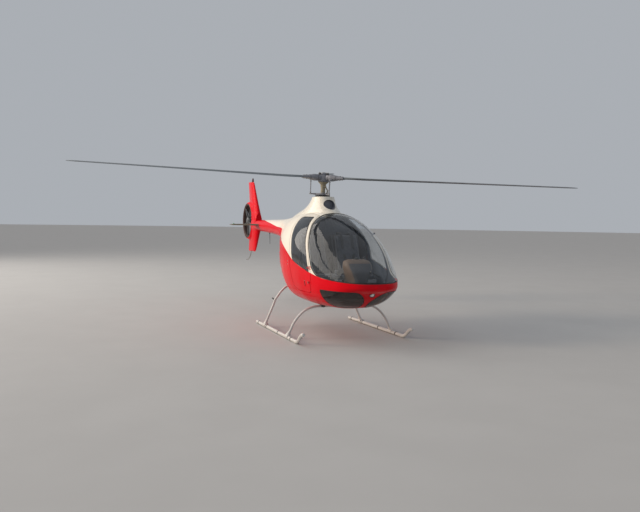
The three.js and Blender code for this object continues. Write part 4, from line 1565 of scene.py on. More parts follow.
CHIN_SIDE = round_outline(((-1238, 722, 30), (-1225, 474, 70), (-2000, 474, 0), (-2000, 722, 0)))
CHIN_FRONT = round_outline(
    ((205, 722, 60), (92, 652, 70), (28, 556, 40), (44, 480, 35), (900, 440, 0), (900, 722, 0)), 10
)
HANDLE_SLOT = round_outline(((-862, 812, 9), (-840, 812, 9), (-840, 728, 9), (-862, 728, 9)))
COWL_EDGE = round_outline(
    ((330, 1330, 60), (330, 760, 90), (620, 760, 60), (1130, 1240, 60), (1130, 1400, 60))
)


def in_chin(p: Array) -> Array:
    """Depth in a chin window's outline: the lesser of the depths seen from the side and from the front."""
    ahead = np.column_stack([np.abs(p[:, 0]), p[:, 2]])
    return np.minimum(depth_in(CHIN_SIDE, p[:, 1:]), depth_in(CHIN_FRONT, ahead))


@dataclass
class Cabin:
    """The moulded cabin with its windshield, chin windows and nose lamp."""

    end: float = 0.2492
    gap: float = 0.009
    roof_edge: float = 0.24
    wall: float = 0.022
    glass: float = 0.006
    lamp_at: Triple = (0.0, -1.712, 0.683)
    lamp_tilt: Triple = (0.0, -0.82, -0.57)
    lamp_radius: float = 0.036
    probe_at: Triple = (-0.058, -1.762, 0.972)
    probe_aim: Triple = (-0.25, -0.8, 0.62)

    def walls(self, points: Array) -> Array:
        """The wall at each point, which thins towards the nose."""
        return np.clip(0.005 + 0.06 * (points[:, 1] + 1.86), 0.005, self.wall)

    def lamp_room(self, p: Array) -> Array:
        """Distance beyond the lamp's rim, from its axis, and far behind its face."""
        tilt = np.asarray(self.lamp_tilt)
        tilt = tilt / np.linalg.norm(tilt)
        off = p - self.lamp_at
        along = off @ tilt
        return np.where(
            along > -0.1, np.linalg.norm(off - along[:, None] * tilt, axis=1) - self.lamp_radius - 0.001, 1.0
        )

    def build_shell(self) -> None:
        """The painted shell with its doorways and windows left open, and a seal round each doorway."""
        doorway = outside(DOOR_EDGE, self.gap, self.roof_edge - self.gap)
        fields = (outside(WINDSHIELD_EDGE), doorway, lambda p: -in_chin(p), self.lamp_room)
        points, faces = SKIN.region(NOSE_SPAN[0], self.end, *fields)
        shape = panel(points, faces, self.walls(points), Coat.PAINT, Coat.TRIM)
        rim = (within(DOOR_EDGE, self.gap + 0.002), outside(DOOR_EDGE, self.gap - 0.012))
        for side in Side:
            fields = (*rim, on_side(side.value, self.roof_edge))
            sheet(DOOR_SPAN, fields, 0.007, Coat.RUBBER, shape=shape, proud=-0.014)
        pillars = [f"windshield_pillar_{side.word}" for side in Side]
        make_piece("cabin_shell_moulding", shape, Body.FUSELAGE, ["cabin_shell", *pillars])

    def build_windshield(self) -> None:
        """The one-piece windshield and the dark sealant along its edge."""
        shape = sheet(NOSE_SPAN, [within(WINDSHIELD_EDGE, -0.0015)], self.glass, Coat.CLEAR)
        make_piece("windshield_sheet", shape, Body.FUSELAGE, ["windshield"])
        edge = (within(WINDSHIELD_EDGE, 0.001), lambda p: 0.011 - depth_in(WINDSHIELD_EDGE, p[:, 1:]))
        shape = sheet(NOSE_SPAN, edge, 0.005, Coat.RUBBER, proud=0.0018)
        make_piece("windshield_sealant", shape, Body.FUSELAGE)

    def build_chin(self) -> None:
        """The smoked chin windows and their seals."""
        for side in Side:
            half, word = on_side(side.value), side.word
            shape = sheet(CHIN_SPAN, (half, lambda p: in_chin(p) - 0.0015), 0.005, Coat.SMOKED)
            make_piece(f"chin_sheet_{word}", shape, Body.FUSELAGE, [f"chin_window_{word}"])
            edge = (half, lambda p: in_chin(p) + 0.001, lambda p: 0.007 - in_chin(p))
            shape = sheet(CHIN_SPAN, edge, 0.005, Coat.RUBBER, proud=0.0016)
            make_piece(f"chin_seal_{word}", shape, Body.FUSELAGE)

    def build_lamp(self) -> None:
        """The round nose lamp: a dished reflector with a lens ring and a pale stub in its middle."""
        tilt = np.asarray(self.lamp_tilt) / np.linalg.norm(self.lamp_tilt)
        r = self.lamp_radius
        base = np.asarray(self.lamp_at) - 0.022 * tilt
        dish = [
            (r - 0.001, 0.0), (r - 0.001, 0.027), (r - 0.004, 0.0275), (0.80 * r, 0.018), (0.55 * r, 0.011),
            (0.30 * r, 0.0075)
        ]
        shape = turned(dish, base, tilt, Coat.LENS, sides=40)
        rim = [
            (r - 0.0010, 0.016), (r, 0.018), (r, 0.0275), (r - 0.0015, 0.0300), (r - 0.0050, 0.0305),
            (r - 0.0065, 0.0270), (r - 0.0050, 0.016)
        ]
        hooped(rim, base, tilt, Coat.DARK, shape, 40)
        turned(rounded(0.0085, 0.014, 0.004), base + 0.0075 * tilt, tilt, Coat.MARK, shape, 20)
        make_piece("nose_lamp_unit", shape, Body.FUSELAGE, ["nose_lamp"])

    def build_probe(self) -> None:
        """The black air-temperature probe through the windshield, and static ports on both sides."""
        shape = turned(rounded(0.011, 0.010, 0.003), self.probe_at, self.probe_aim, Coat.PLASTIC)
        turned(rounded(0.004, 0.030, 0.0015), self.probe_at, self.probe_aim, Coat.STEEL, shape)
        for side in Side:
            y, z = np.array([-0.20, -0.20]), np.array([0.985, 1.030])
            studs(
                SKIN.side_point(y, z, side.value), SKIN.side_normal(y, z, side.value), 0.010, 0.002,
                Coat.STEEL, shape
            )
        make_piece("probe_and_ports", shape, Body.FUSELAGE)

    def build(self) -> None:
        """Builds the whole cabin."""
        self.build_shell()
        self.build_windshield()
        self.build_chin()
        self.build_lamp()
        self.build_probe()


@dataclass
class Door:
    """One cabin door: painted skin, padded inner frame, window, seal, latch and two hinges."""

    side: Side
    roof_edge: float = 0.24
    skin: float = 0.009
    rabbet: float = 0.024
    padding: float = 0.0145
    slot_depth: float = 0.0078
    pane: float = 0.005
    hinge: tuple[float, float] = (0.600, -1.000)
    hinge_heights: tuple[float, float] = (0.790, 0.985)
    latch: tuple[float, float] = (-0.851, 0.770)

    def build(self) -> None:
        """Builds the door's pieces."""
        sign, word, body = self.side.value, self.side.word, self.side.door
        edge = (within(DOOR_EDGE), on_side(sign, self.roof_edge), outside(DOOR_WINDOW), outside(HANDLE_SLOT))
        shape = sheet(DOOR_SPAN, edge, self.skin, Coat.PAINT, Coat.TRIM)
        inner = (
            within(DOOR_EDGE, -self.rabbet), on_side(sign, self.roof_edge + self.rabbet), outside(DOOR_WINDOW)
        )
        sheet(DOOR_SPAN, inner, self.padding, Coat.TRIM, shape=shape, proud=-self.skin)
        half = on_side(sign)
        pocket = (half, within(HANDLE_SLOT, 0.001))
        sheet((-0.88, -0.80), pocket, 0.001, Coat.PLASTIC, shape=shape, proud=-self.slot_depth)
        make_piece(f"door_panel_{word}", shape, body, [f"door_{word}"])
        shape = sheet(DOOR_SPAN, (half, within(DOOR_WINDOW, -0.0012)), self.pane, Coat.CLEAR, proud=-0.001)
        make_piece(f"door_pane_{word}", shape, body, [f"door_window_{word}"])
        edge = (half, within(DOOR_WINDOW, 0.003), outside(DOOR_WINDOW, -0.006))
        shape = sheet(DOOR_SPAN, edge, 0.003, Coat.RUBBER, proud=0.0008)
        make_piece(f"door_gasket_{word}", shape, body)
        self.build_fittings()

    def build_fittings(self) -> None:
        """The latch in its slot, the inner handle, and the hinge straps with their pins."""
        sign, word, body = self.side.value, self.side.word, self.side.door
        y, z = np.array(self.latch)[:, None]
        at, facing = SKIN.side_point(y, z, sign)[0], SKIN.side_normal(y, z, sign)[0]
        shape = slab(at - 0.0035 * facing, (0.003, 0.006, 0.030), Coat.DARK, edge=0.002)
        turned(rounded(0.008, 0.010, 0.002), at - 0.006 * facing + (0, 0, 0.033), facing, Coat.STEEL, shape)
        grip = smooth_path(
            [
                (sign * 0.565, -0.80, 0.82), (sign * 0.545, -0.78, 0.83), (sign * 0.540, -0.70, 0.85),
                (sign * 0.545, -0.62, 0.865), (sign * 0.567, -0.60, 0.87)
            ],
            18
        )
        tube(grip, 0.009, Coat.PLASTIC, shape, sides=12)
        pin_x = sign * self.hinge[0]
        for z in self.hinge_heights:
            y = np.array([-0.975, -0.945])
            foot = SKIN.side_point(y, np.full(2, z), sign)
            strap = smooth_path(
                [(pin_x, self.hinge[1], z), foot[0] + (sign * 0.004, 0, 0), foot[1] + (sign * 0.003, 0, 0)], 8
            )
            tube(strap, 0.0016, Coat.RED, shape, high=0.007, sides=12, power=6)
            turned(
                rounded(0.0045, 0.014, 0.0015), (pin_x, self.hinge[1], z - 0.007), UP, Coat.STEEL, shape, 14
            )
        make_piece(f"door_fittings_{word}", shape, body)
        shape = Shape()
        for z in self.hinge_heights:
            for shift in (-0.0135, 0.0135):
                turned(
                    rounded(0.0045, 0.011, 0.0015), (pin_x, self.hinge[1], z + shift - 0.0055), UP,
                    Coat.STEEL, shape, 14
                )
                foot = SKIN.side_point(np.array([-1.028, -1.050]), np.full(2, z + shift), sign)
                strap = smooth_path(
                    [
                        (pin_x, self.hinge[1], z + shift), foot[0] + (sign * 0.004, 0, 0),
                        foot[1] + (sign * 0.001, 0, 0)
                    ],
                    8
                )
                tube(strap, 0.0016, Coat.RED, shape, high=0.0052, sides=12, power=6)
        make_piece(f"hinge_brackets_{word}", shape, Body.FUSELAGE)


@dataclass
class RearFuselage:
    """The fuselage behind the cabin with its engine cowls, louvres, exhaust and belly fittings."""

    start: float = 0.2508
    end: float = 1.549
    wall: float = 0.014

    def build(self) -> None:
        """Builds the shell, the cowls and the small fittings."""
        shape = sheet((self.start, self.end), [outside(COWL_EDGE, 0.0015)], self.wall, Coat.PAINT, Coat.TRIM)
        make_piece("rear_moulding", shape, Body.FUSELAGE, ["rear_fuselage"])
        for side in Side:
            self.build_cowl(side)
        self.build_exhaust()
        self.build_belly()

    def build_cowl(self, side: Side) -> None:
        """One cowl with quarter-turn fasteners round it and a bank of louvres.

        Args:
            side: Which side it is on.
        """
        sign = side.value
        fields = (on_side(sign), within(COWL_EDGE, -0.0015))
        shape = sheet((self.start, self.end), fields, self.wall, Coat.PAINT, Coat.TRIM)
        places = along_outline(shrunk(along_outline(COWL_EDGE, 0.02), 0.020), 0.13)
        spots = SKIN.side_point(places[:, 0], places[:, 1], sign)
        facing = SKIN.side_normal(places[:, 0], places[:, 1], sign)
        studs(spots, facing, 0.0075, 0.0016, Coat.STEEL, shape)
        for row in range(7):
            self.louvre(shape, sign, 0.42, 0.585, 0.905 + 0.034 * row)
        make_piece(f"cowl_panel_{side.word}", shape, Body.FUSELAGE, [f"engine_cowl_{side.word}"])

    def louvre(self, shape: Shape, sign: int, start: float, end: float, z: float) -> None:
        """A pressed louvre: a bulge that rises from the skin and opens along its lower edge, with its underside
        and a strip at the back of the opening painted black as shade.

        Formula: the skin moved out by the sine along its length times a ramp that falls with height.

        Args:
            shape: The cowl.
            sign: Which side.
            start: Its front end.
            end: Its rear end.
            z: The height of its open edge.
        """
        u, v = np.meshgrid(np.linspace(0, 1, 15), np.linspace(0, 1, 6), indexing="ij")
        y, height = (start + (end - start) * u).ravel(), (z + 0.020 * v).ravel()
        rise = (np.sin(np.pi * u) ** 0.5 * (1 - v) ** 0.7 * 0.008).ravel()
        base, facing = SKIN.side_point(y, height, sign), SKIN.side_normal(y, height, sign)
        outer = base + rise[:, None] * facing
        faces = faced(outer, halved(grid_faces(15, 6)), facing.mean(axis=0))
        # Painted shade: the louvre's underside is black.
        panel(outer, faces, 0.0012, Coat.PAINT, Coat.RUBBER, shape, proud=0.0006)
        # Painted shade: a black strip on the skin at the back of the opening.
        slot = base[::6] + 0.0004 * facing[::6]
        tube(slot, 0.0012, Coat.RUBBER, shape, high=0.0016, sides=6)

    def build_exhaust(self) -> None:
        """The exhaust stub: a bent steel pipe with an open, slightly flared mouth."""
        path = smooth_path(
            [(0.150, 0.640, 0.700), (0.150, 0.700, 0.600), (0.150, 0.790, 0.520), (0.150, 0.900, 0.500)], 26
        )
        across, upward = frames_along(path, SIDEWAYS)
        ring = ellipse_ring(24)
        flare = 1 + 0.06 * np.clip((np.arange(26) - 22) / 3, 0, 1)
        round_ = ring[None, :, :1] * across[:, None] + ring[None, :, 1:] * upward[:, None]
        outer, inner = (path[:, None] + radius * flare[:, None, None] * round_ for radius in (0.0315, 0.0290))
        rings = np.concatenate([outer, inner[:8:-1]])
        shape = loft(rings, Coat.EXHAUST)
        make_piece("exhaust_stub", shape, Body.FUSELAGE, ["exhaust_pipe"], 50)

    def build_belly(self) -> None:
        """The cargo hard point: a plate with four bolts and a central bush, and two drain stubs."""
        shape = slab((0, 0, 0.4265), (0.059, 0.059, 0.008), Coat.CASTING, edge=0.003)
        for x in (-0.042, 0.042):
            for y in (-0.042, 0.042):
                turned(rounded(0.008, 0.004, 0.001), (x, y, 0.4225), DOWN, Coat.STEEL, shape, 6)
        turned(rounded(0.020, 0.0035, 0.001), (0, 0, 0.4220), DOWN, Coat.DARK, shape, 28)
        make_piece("hook_hard_point", shape, Body.FUSELAGE, ["belly_fitting"])
        shape = Shape()
        for x, y in ((0.22, 0.18), (-0.18, 0.30)):
            height = SKIN.numbers(np.array([y]))[0, 2]
            turned(rounded(0.006, 0.030, 0.0015), (x, y, height + 0.008), (0, 0.3, -1), Coat.STEEL, shape, 12)
        make_piece("drain_stubs", shape, Body.FUSELAGE)


@dataclass
class Tail:
    """The boom, the fin with its duct, the tailplane, the beacon and the tail skid."""

    boom: tuple[float, float] = (1.551, 3.4195)
    fan: tuple[float, float] = FAN_CENTRE[1:]
    bore: float = FAN_BORE
    lip: float = 0.028
    half: float = 0.076
    outer: float = 0.385
    # Outer radius of the band of painted shade round the duct.
    ring: float = 0.352
    split: tuple[float, float] = (1.205, 1.985)
    bottom: float = 0.97
    top: float = 2.39
    pace: float = 0.0095
    upper_rows: Rows = (
        (3.345, 4.130, 1.640, 0.150),
        (3.450, 4.100, 1.800, 0.120),
        (3.545, 4.110, 1.950, 0.095),
        (3.680, 4.150, 2.170, 0.070),
        (3.800, 4.195, 2.360, 0.050),
        (3.850, 4.190, 2.385, 0.026),
    )
    lower_rows: Rows = (
        (3.690, 4.130, 0.975, 0.026),
        (3.640, 4.145, 1.000, 0.050),
        (3.570, 4.135, 1.100, 0.074),
        (3.500, 4.125, 1.230, 0.100),
        (3.420, 4.120, 1.380, 0.130),
        (3.330, 4.130, 1.560, 0.150),
    )

    def build_boom(self) -> None:
        """The tapering boom, with a ring of rivets at its root and a rod aerial below."""
        shape = sheet(self.boom, [], 0.010, Coat.PAINT)
        angle = np.linspace(0, 2 * np.pi, 40, endpoint=False)
        for y in (1.575, 3.395):
            uv = np.column_stack([np.full(40, y), angle])
            spots = SKIN.at(uv)
            facing = np.cross(SKIN.at(uv + (0, 0.01)) - SKIN.at(uv - (0, 0.01)), (0.0, 1.0, 0.0))
            facing /= np.linalg.norm(facing, axis=1, keepdims=True)
            facing *= np.sign((facing * (spots - (0, y, 1.5))).sum(1, keepdims=True))
            studs(spots, facing, 0.0032, 0.0009, Coat.PAINT, shape)
        make_piece("boom_tube", shape, Body.FUSELAGE, ["tail_boom"])
        foot = SKIN.numbers(np.array([2.69]))[0, 2]
        shape = tube(
            smooth_path([(0, 2.669, 1.166), (0, 2.676, 1.260), (0, 2.690, foot + 0.006)], 12),
            np.linspace(0.003, 0.0055, 12), Coat.PLASTIC, sides=12, up=SIDEWAYS
        )
        turned([(0.022, 0.004), (0.020, -0.004), (0.008, -0.016)], (0, 2.690, foot), UP, Coat.PLASTIC, shape)
        make_piece("rod_aerial", shape, Body.FUSELAGE, ["boom_aerial"])

    def rows_at(self, z: Array) -> tuple[Array, Array, Array]:
        """Leading edge, trailing edge and thickness of the fin at each height, by straight runs."""
        table = np.asarray([*self.lower_rows, *self.upper_rows], float)
        return tuple(np.interp(z, table[:, 2], table[:, column]) for column in (0, 1, 3))

    def from_fan(self, p: Array) -> Array:
        """Each point's distance from the fan's axis."""
        return np.hypot(p[:, 1] - self.fan[0], p[:, 2] - self.fan[1])

    def inside(self, p: Array) -> Array:
        """How far points lie inside the fin's side outline, the greater of the fin's own and the duct's disc.

        Args:
            p: Points.

        Returns:
            One distance for each, positive inside.
        """
        y, z = p[:, 1], p[:, 2]
        front, back, _ = self.rows_at(z)
        low, high = self.lower_rows[0][2], self.upper_rows[-1][2]
        fin = np.minimum(np.minimum(0.85 * (y - front), back - y), np.minimum(high - z, z - low))
        return np.maximum(fin, self.outer - self.from_fan(p))

    def half_width(self, p: Array) -> Array:
        """Half the fin's width at each point seen from the side.

        Formula: a four-digit section's thickness on the local chord, the duct's quarter of a superellipse
        and the boom's section carried on, joined two at a time by the greater of them plus a quarter of the
        square of how closely they agree.

        Args:
            p: Points.

        Returns:
            One half width for each.
        """
        y, z = p[:, 1], p[:, 2]
        front, back, thick = self.rows_at(z)
        t = np.clip((y - front) / (back - front), 0, 1)
        fin = thick * foil(t)
        tip = np.clip(np.minimum(self.upper_rows[-1][2] - z, z - self.lower_rows[0][2]) / 0.03, 0, 1)
        fin = fin * np.sqrt(np.clip(1 - (1 - tip) ** 2, 0, 1))
        radius = self.from_fan(p)
        q = np.clip((radius - self.bore - self.lip) / (self.outer - self.bore - self.lip), 0, 1)
        duct = np.where(radius < self.outer, self.half * np.sqrt(1 - q**2.6), 0.0)
        root = SKIN.side_point(np.minimum(y, 3.42), z, 1)[:, 0] * np.clip(1.0 - 0.9 * (y - 3.42), 0, 1)
        root = np.where((z > 1.40) & (z < 1.62), root, 0.0)
        joined = fin
        for other, reach in ((duct, 0.035), (root, 0.05)):
            near = np.clip(reach - np.abs(joined - other), 0, None) / reach
            joined = np.maximum(joined, other) + 0.25 * reach * near**2 * (np.minimum(joined, other) > 1e-4)
        return joined

    def ringed(self, net: Net, place: Place) -> tuple[Net, Array]:
        """Splits a net along the outer edge of the duct's dark ring, which is painted shade.

        Args:
            net: The net.
            place: Takes its parameters to points.

        Returns:
            The net with faces that end on that edge, and which of them are dark.
        """
        red = net.cut(place, lambda p: self.from_fan(p) - self.ring)
        dark = net.cut(place, lambda p: self.ring - self.from_fan(p))
        uv, faces = np.concatenate([red.uv, dark.uv]), np.concatenate([red.faces, dark.faces + len(red.uv)])
        flat, number = np.unique(np.round(uv, 6), axis=0, return_inverse=True)
        faces = number.reshape(-1)[faces]
        sound = whole(faces)
        return Net(flat, faces[sound]), (np.arange(len(faces)) >= len(red.faces))[sound]

    def fin_part(self, low: float, high: float) -> Shape:
        """The part of the fin between two heights.

        Formula: a net over the side outline, drawn closer to the outline by the square of the distance
        within 30 mm; each point is moved out by the half width on both sides.

        Args:
            low: The lower height.
            high: The upper height.

        Returns:
            The closed shape.
        """

        def place(uv: Array) -> Array:
            """The net's points in the middle plane."""
            return np.column_stack([np.zeros(len(uv)), uv[:, 1], uv[:, 0]])

        z = np.arange(max(low, self.bottom), min(high, self.top) + self.pace, self.pace)
        z[-1] = min(high, self.top)
        y = np.arange(3.31, 4.43, self.pace)
        net = Net.grid(z, np.broadcast_to(y, (len(z), len(y))).copy())
        fields: list[Field] = [self.inside, lambda p: self.from_fan(p) - self.bore - 1.15 * self.lip]
        if low < self.fan[1] < high:
            fields.append(lambda p: p[:, 1] - 3.4205)
        for one in fields:
            net = net.cut(place, one, snap=0.003)
        net, dark = self.ringed(net, place)
        uv, reach = net.uv, 0.03
        here = self.inside(place(uv))
        slope = slope_at(lambda at: self.inside(place(at)), uv, here, 1e-4)
        slope /= np.maximum(np.linalg.norm(slope, axis=1, keepdims=True), 0.3)
        close = (here > 0) & (here < reach) & (uv[:, 0] > low + 0.002) & (uv[:, 0] < high - 0.002)
        close &= (uv[:, 1] > 3.45) | (low > self.fan[1]) | (high < self.fan[1])
        uv = np.where(close[:, None], uv - slope * (here - here**2 / reach)[:, None], uv)
        flat, half = place(uv), self.half_width(place(uv))
        edge = np.clip(self.inside(flat) / 0.0005, 0, 1)
        half = np.maximum(half * edge, 0.0012)
        outer, n = flat + half[:, None] * SIDEWAYS, len(flat)
        faces = faced(outer, net.faces, SIDEWAYS)
        parts = [faces, faces[:, ::-1] + n, rim_faces(faces, n)]
        shape = Shape().add(np.concatenate([outer, outer * (-1, 1, 1)]), parts, Coat.RED)
        for part in (0, 1):
            # Painted shade on the ring round the duct.
            shape.repaint(part, dark, Coat.LIP)
        return shape

    def build_fin(self) -> None:
        """The duct with its lips, and the upper and lower fins."""
        low, high = self.split
        shape = self.fin_part(low, high)
        arc = np.linspace(0, np.pi / 2, 9)
        lip = [
            (self.bore + self.lip * (1 - np.cos(a)), self.half - self.lip + self.lip * np.sin(a)) for a in arc
        ]
        beyond = [
            (self.bore + self.lip + 0.004, self.half - 0.0006),
            (self.bore + self.lip + 0.008, self.half - 0.006)
        ]
        profile = [(self.bore, 0.0), *lip, *beyond, (self.bore + self.lip + 0.008, 0.0)]
        profile = np.array([*profile, *[(r, -x) for r, x in reversed(profile[1:-1])]])
        angle = np.linspace(0, 2 * np.pi, 97)[:-1]
        y, z = (at + profile[:, 0] * way(angle)[:, None] for at, way in zip(self.fan, (np.cos, np.sin)))
        rings = np.stack([np.broadcast_to(profile[:, 1], y.shape), y, z], -1)
        # The rounded lip in the same painted shade.
        closed_rings(rings, Coat.LIP, shape)
        make_piece("duct_fairing", shape, Body.FUSELAGE, ["fan_shroud"], 55)
        upper, lower = self.fin_part(high + 0.0006, self.top), self.fin_part(self.bottom, low - 0.0006)
        make_piece("fin_upper_moulding", upper, Body.FUSELAGE, ["upper_fin"], 55)
        make_piece("fin_lower_moulding", lower, Body.FUSELAGE, ["lower_fin"], 55)

    def build_plane(self, side: Side) -> None:
        """One half of the tailplane, with a rounded tip and a navigation light.

        Formula: sections of a four-digit outline, whose chord and thickness shrink by a quarter circle over
        the last 45 mm.

        Args:
            side: Which side it is on.
        """
        sign = side.value
        x = np.concatenate(
            [np.linspace(0.085, 0.595, 14), 0.595 + 0.045 * np.sin(np.linspace(0, np.pi / 2, 8)[1:])]
        )
        tip = np.sqrt(np.clip(1 - np.clip((x - 0.595) / 0.045, 0, 1) ** 2, 0.0004, 1))
        front = 3.02 + 0.04 * (x - 0.07) / 0.54
        middle, chord = 0.5 * (front + 3.32), (3.32 - front) * (0.35 + 0.65 * tip)
        thick = np.interp(x, (0.07, 0.6), (0.034, 0.027)) * tip
        t = 0.5 - 0.5 * np.cos(np.linspace(0, np.pi, 19))
        half = foil(t)
        loop_t, loop_h = np.concatenate([t, t[-2:0:-1]]), np.concatenate([half, -half[-2:0:-1]])
        y, z = middle[:, None] + (loop_t - 0.5) * chord[:, None], 1.52 + loop_h * thick[:, None]
        rings = np.stack([np.broadcast_to(sign * x[:, None], y.shape), y, z], -1)
        # The tailplane's colour is painted shade and painted ground reflection.
        shape = loft(rings, Coat.PLANE)
        make_piece(
            f"tailplane_skin_{side.word}", shape, Body.FUSELAGE, [f"tailplane_{side.word}"], 50
        )
        lens = Coat.RED_LENS if side is Side.LEFT else Coat.GREEN_LENS
        path = smooth_path(
            [(sign * 0.585, 3.085, 1.5365), (sign * 0.585, 3.115, 1.5385), (sign * 0.585, 3.150, 1.5365)], 14
        )
        bulge = np.sqrt(np.clip(1 - np.linspace(-1, 1, 14) ** 2, 0.02, 1))
        shape = tube(path, 0.011 * bulge, lens, high=0.009 * bulge, sides=14)
        make_piece(f"position_light_{side.word}", shape, Body.FUSELAGE)

    def build_tips(self) -> None:
        """The anti-collision beacon on the fin, and the tail skid below it."""
        shape = turned([(0.020, 0.0), (0.020, 0.040), (0.0185, 0.043)], (0, 3.885, 2.365), UP, Coat.PLASTIC)
        dome = [(0.0175, 0.0), (0.0175, 0.030), (0.0160, 0.040), (0.0115, 0.0465), (0.004, 0.0485)]
        # The dome's dark red is painted shade.
        turned(dome, (0, 3.885, 2.4075), UP, Coat.BEACON, shape)
        make_piece("beacon_unit", shape, Body.FUSELAGE, ["beacon"])
        path = smooth_path(
            [(0, 3.950, 0.990), (0, 3.990, 0.920), (0, 4.080, 0.840), (0, 4.190, 0.795), (0, 4.300, 0.782)],
            30
        )
        shape = tube(path, 0.0085, Coat.STEEL, sides=14, up=SIDEWAYS)
        turned(rounded(0.011, 0.016, 0.003), (0, 4.284, 0.7838), (0, 0.99, -0.11), Coat.RUBBER, shape)
        make_piece("tail_bumper", shape, Body.FUSELAGE, ["tail_skid"])

    def build(self) -> None:
        """Builds the whole tail."""
        self.build_boom()
        self.build_fin()
        for side in Side:
            self.build_plane(side)
        self.build_tips()


def hooped(
    profile: Rows, start: Row, toward: Row, coat: Coat, shape: Shape | None = None, sides: int = 48
) -> Shape:
    """A ring: a closed profile of radius and distance pairs, carried round an axis.

    Args:
        profile: Radius and distance pairs round the ring's section.
        start: Where the axis starts.
        toward: The axis's direction.
        coat: The finish.
        shape: A shape to add it to.
        sides: Places round the axis.

    Returns:
        The shape.
    """
    toward, round_ = spokes(toward, sides)
    pairs = np.asarray(profile, float)
    rings = np.asarray(start, float) + pairs[None, :, :1] * round_[:, None] + pairs[None, :, 1:] * toward
    return closed_rings(rings, coat, shape)


def steady(x: Array, places: Row, values: Array) -> Array:
    """Values between listed places by cubics that never overshoot.

    Formula: each slope is the harmonic mean of its neighbours, or nothing where they differ in sign, and each
    stretch is the cubic with the slopes at its ends.

    Args:
        x: Where values are wanted.
        places: The listed places, rising.
        values: A row of values for each place.

    Returns:
        A row of values for each x.
    """
    places, values = np.asarray(places, float), np.asarray(values, float)
    step = np.diff(places)[:, None]
    rise = np.diff(values, axis=0) / step
    same = rise[1:] * rise[:-1] > 0
    mean = np.where(same, 2 * rise[1:] * rise[:-1] / np.where(same, rise[1:] + rise[:-1], 1), 0)
    slope = np.concatenate([rise[:1], mean, rise[-1:]])
    i = np.clip(np.searchsorted(places, x) - 1, 0, len(places) - 2)
    h, t = step[i], ((x - places[i]) / step[i, 0])[:, None]
    near, far = (1 + 2 * t) * (1 - t) ** 2 * values[i], t**2 * (3 - 2 * t) * values[i + 1]
    return near + far + h * t * (1 - t) * ((1 - t) * slope[i] - t * slope[i + 1])


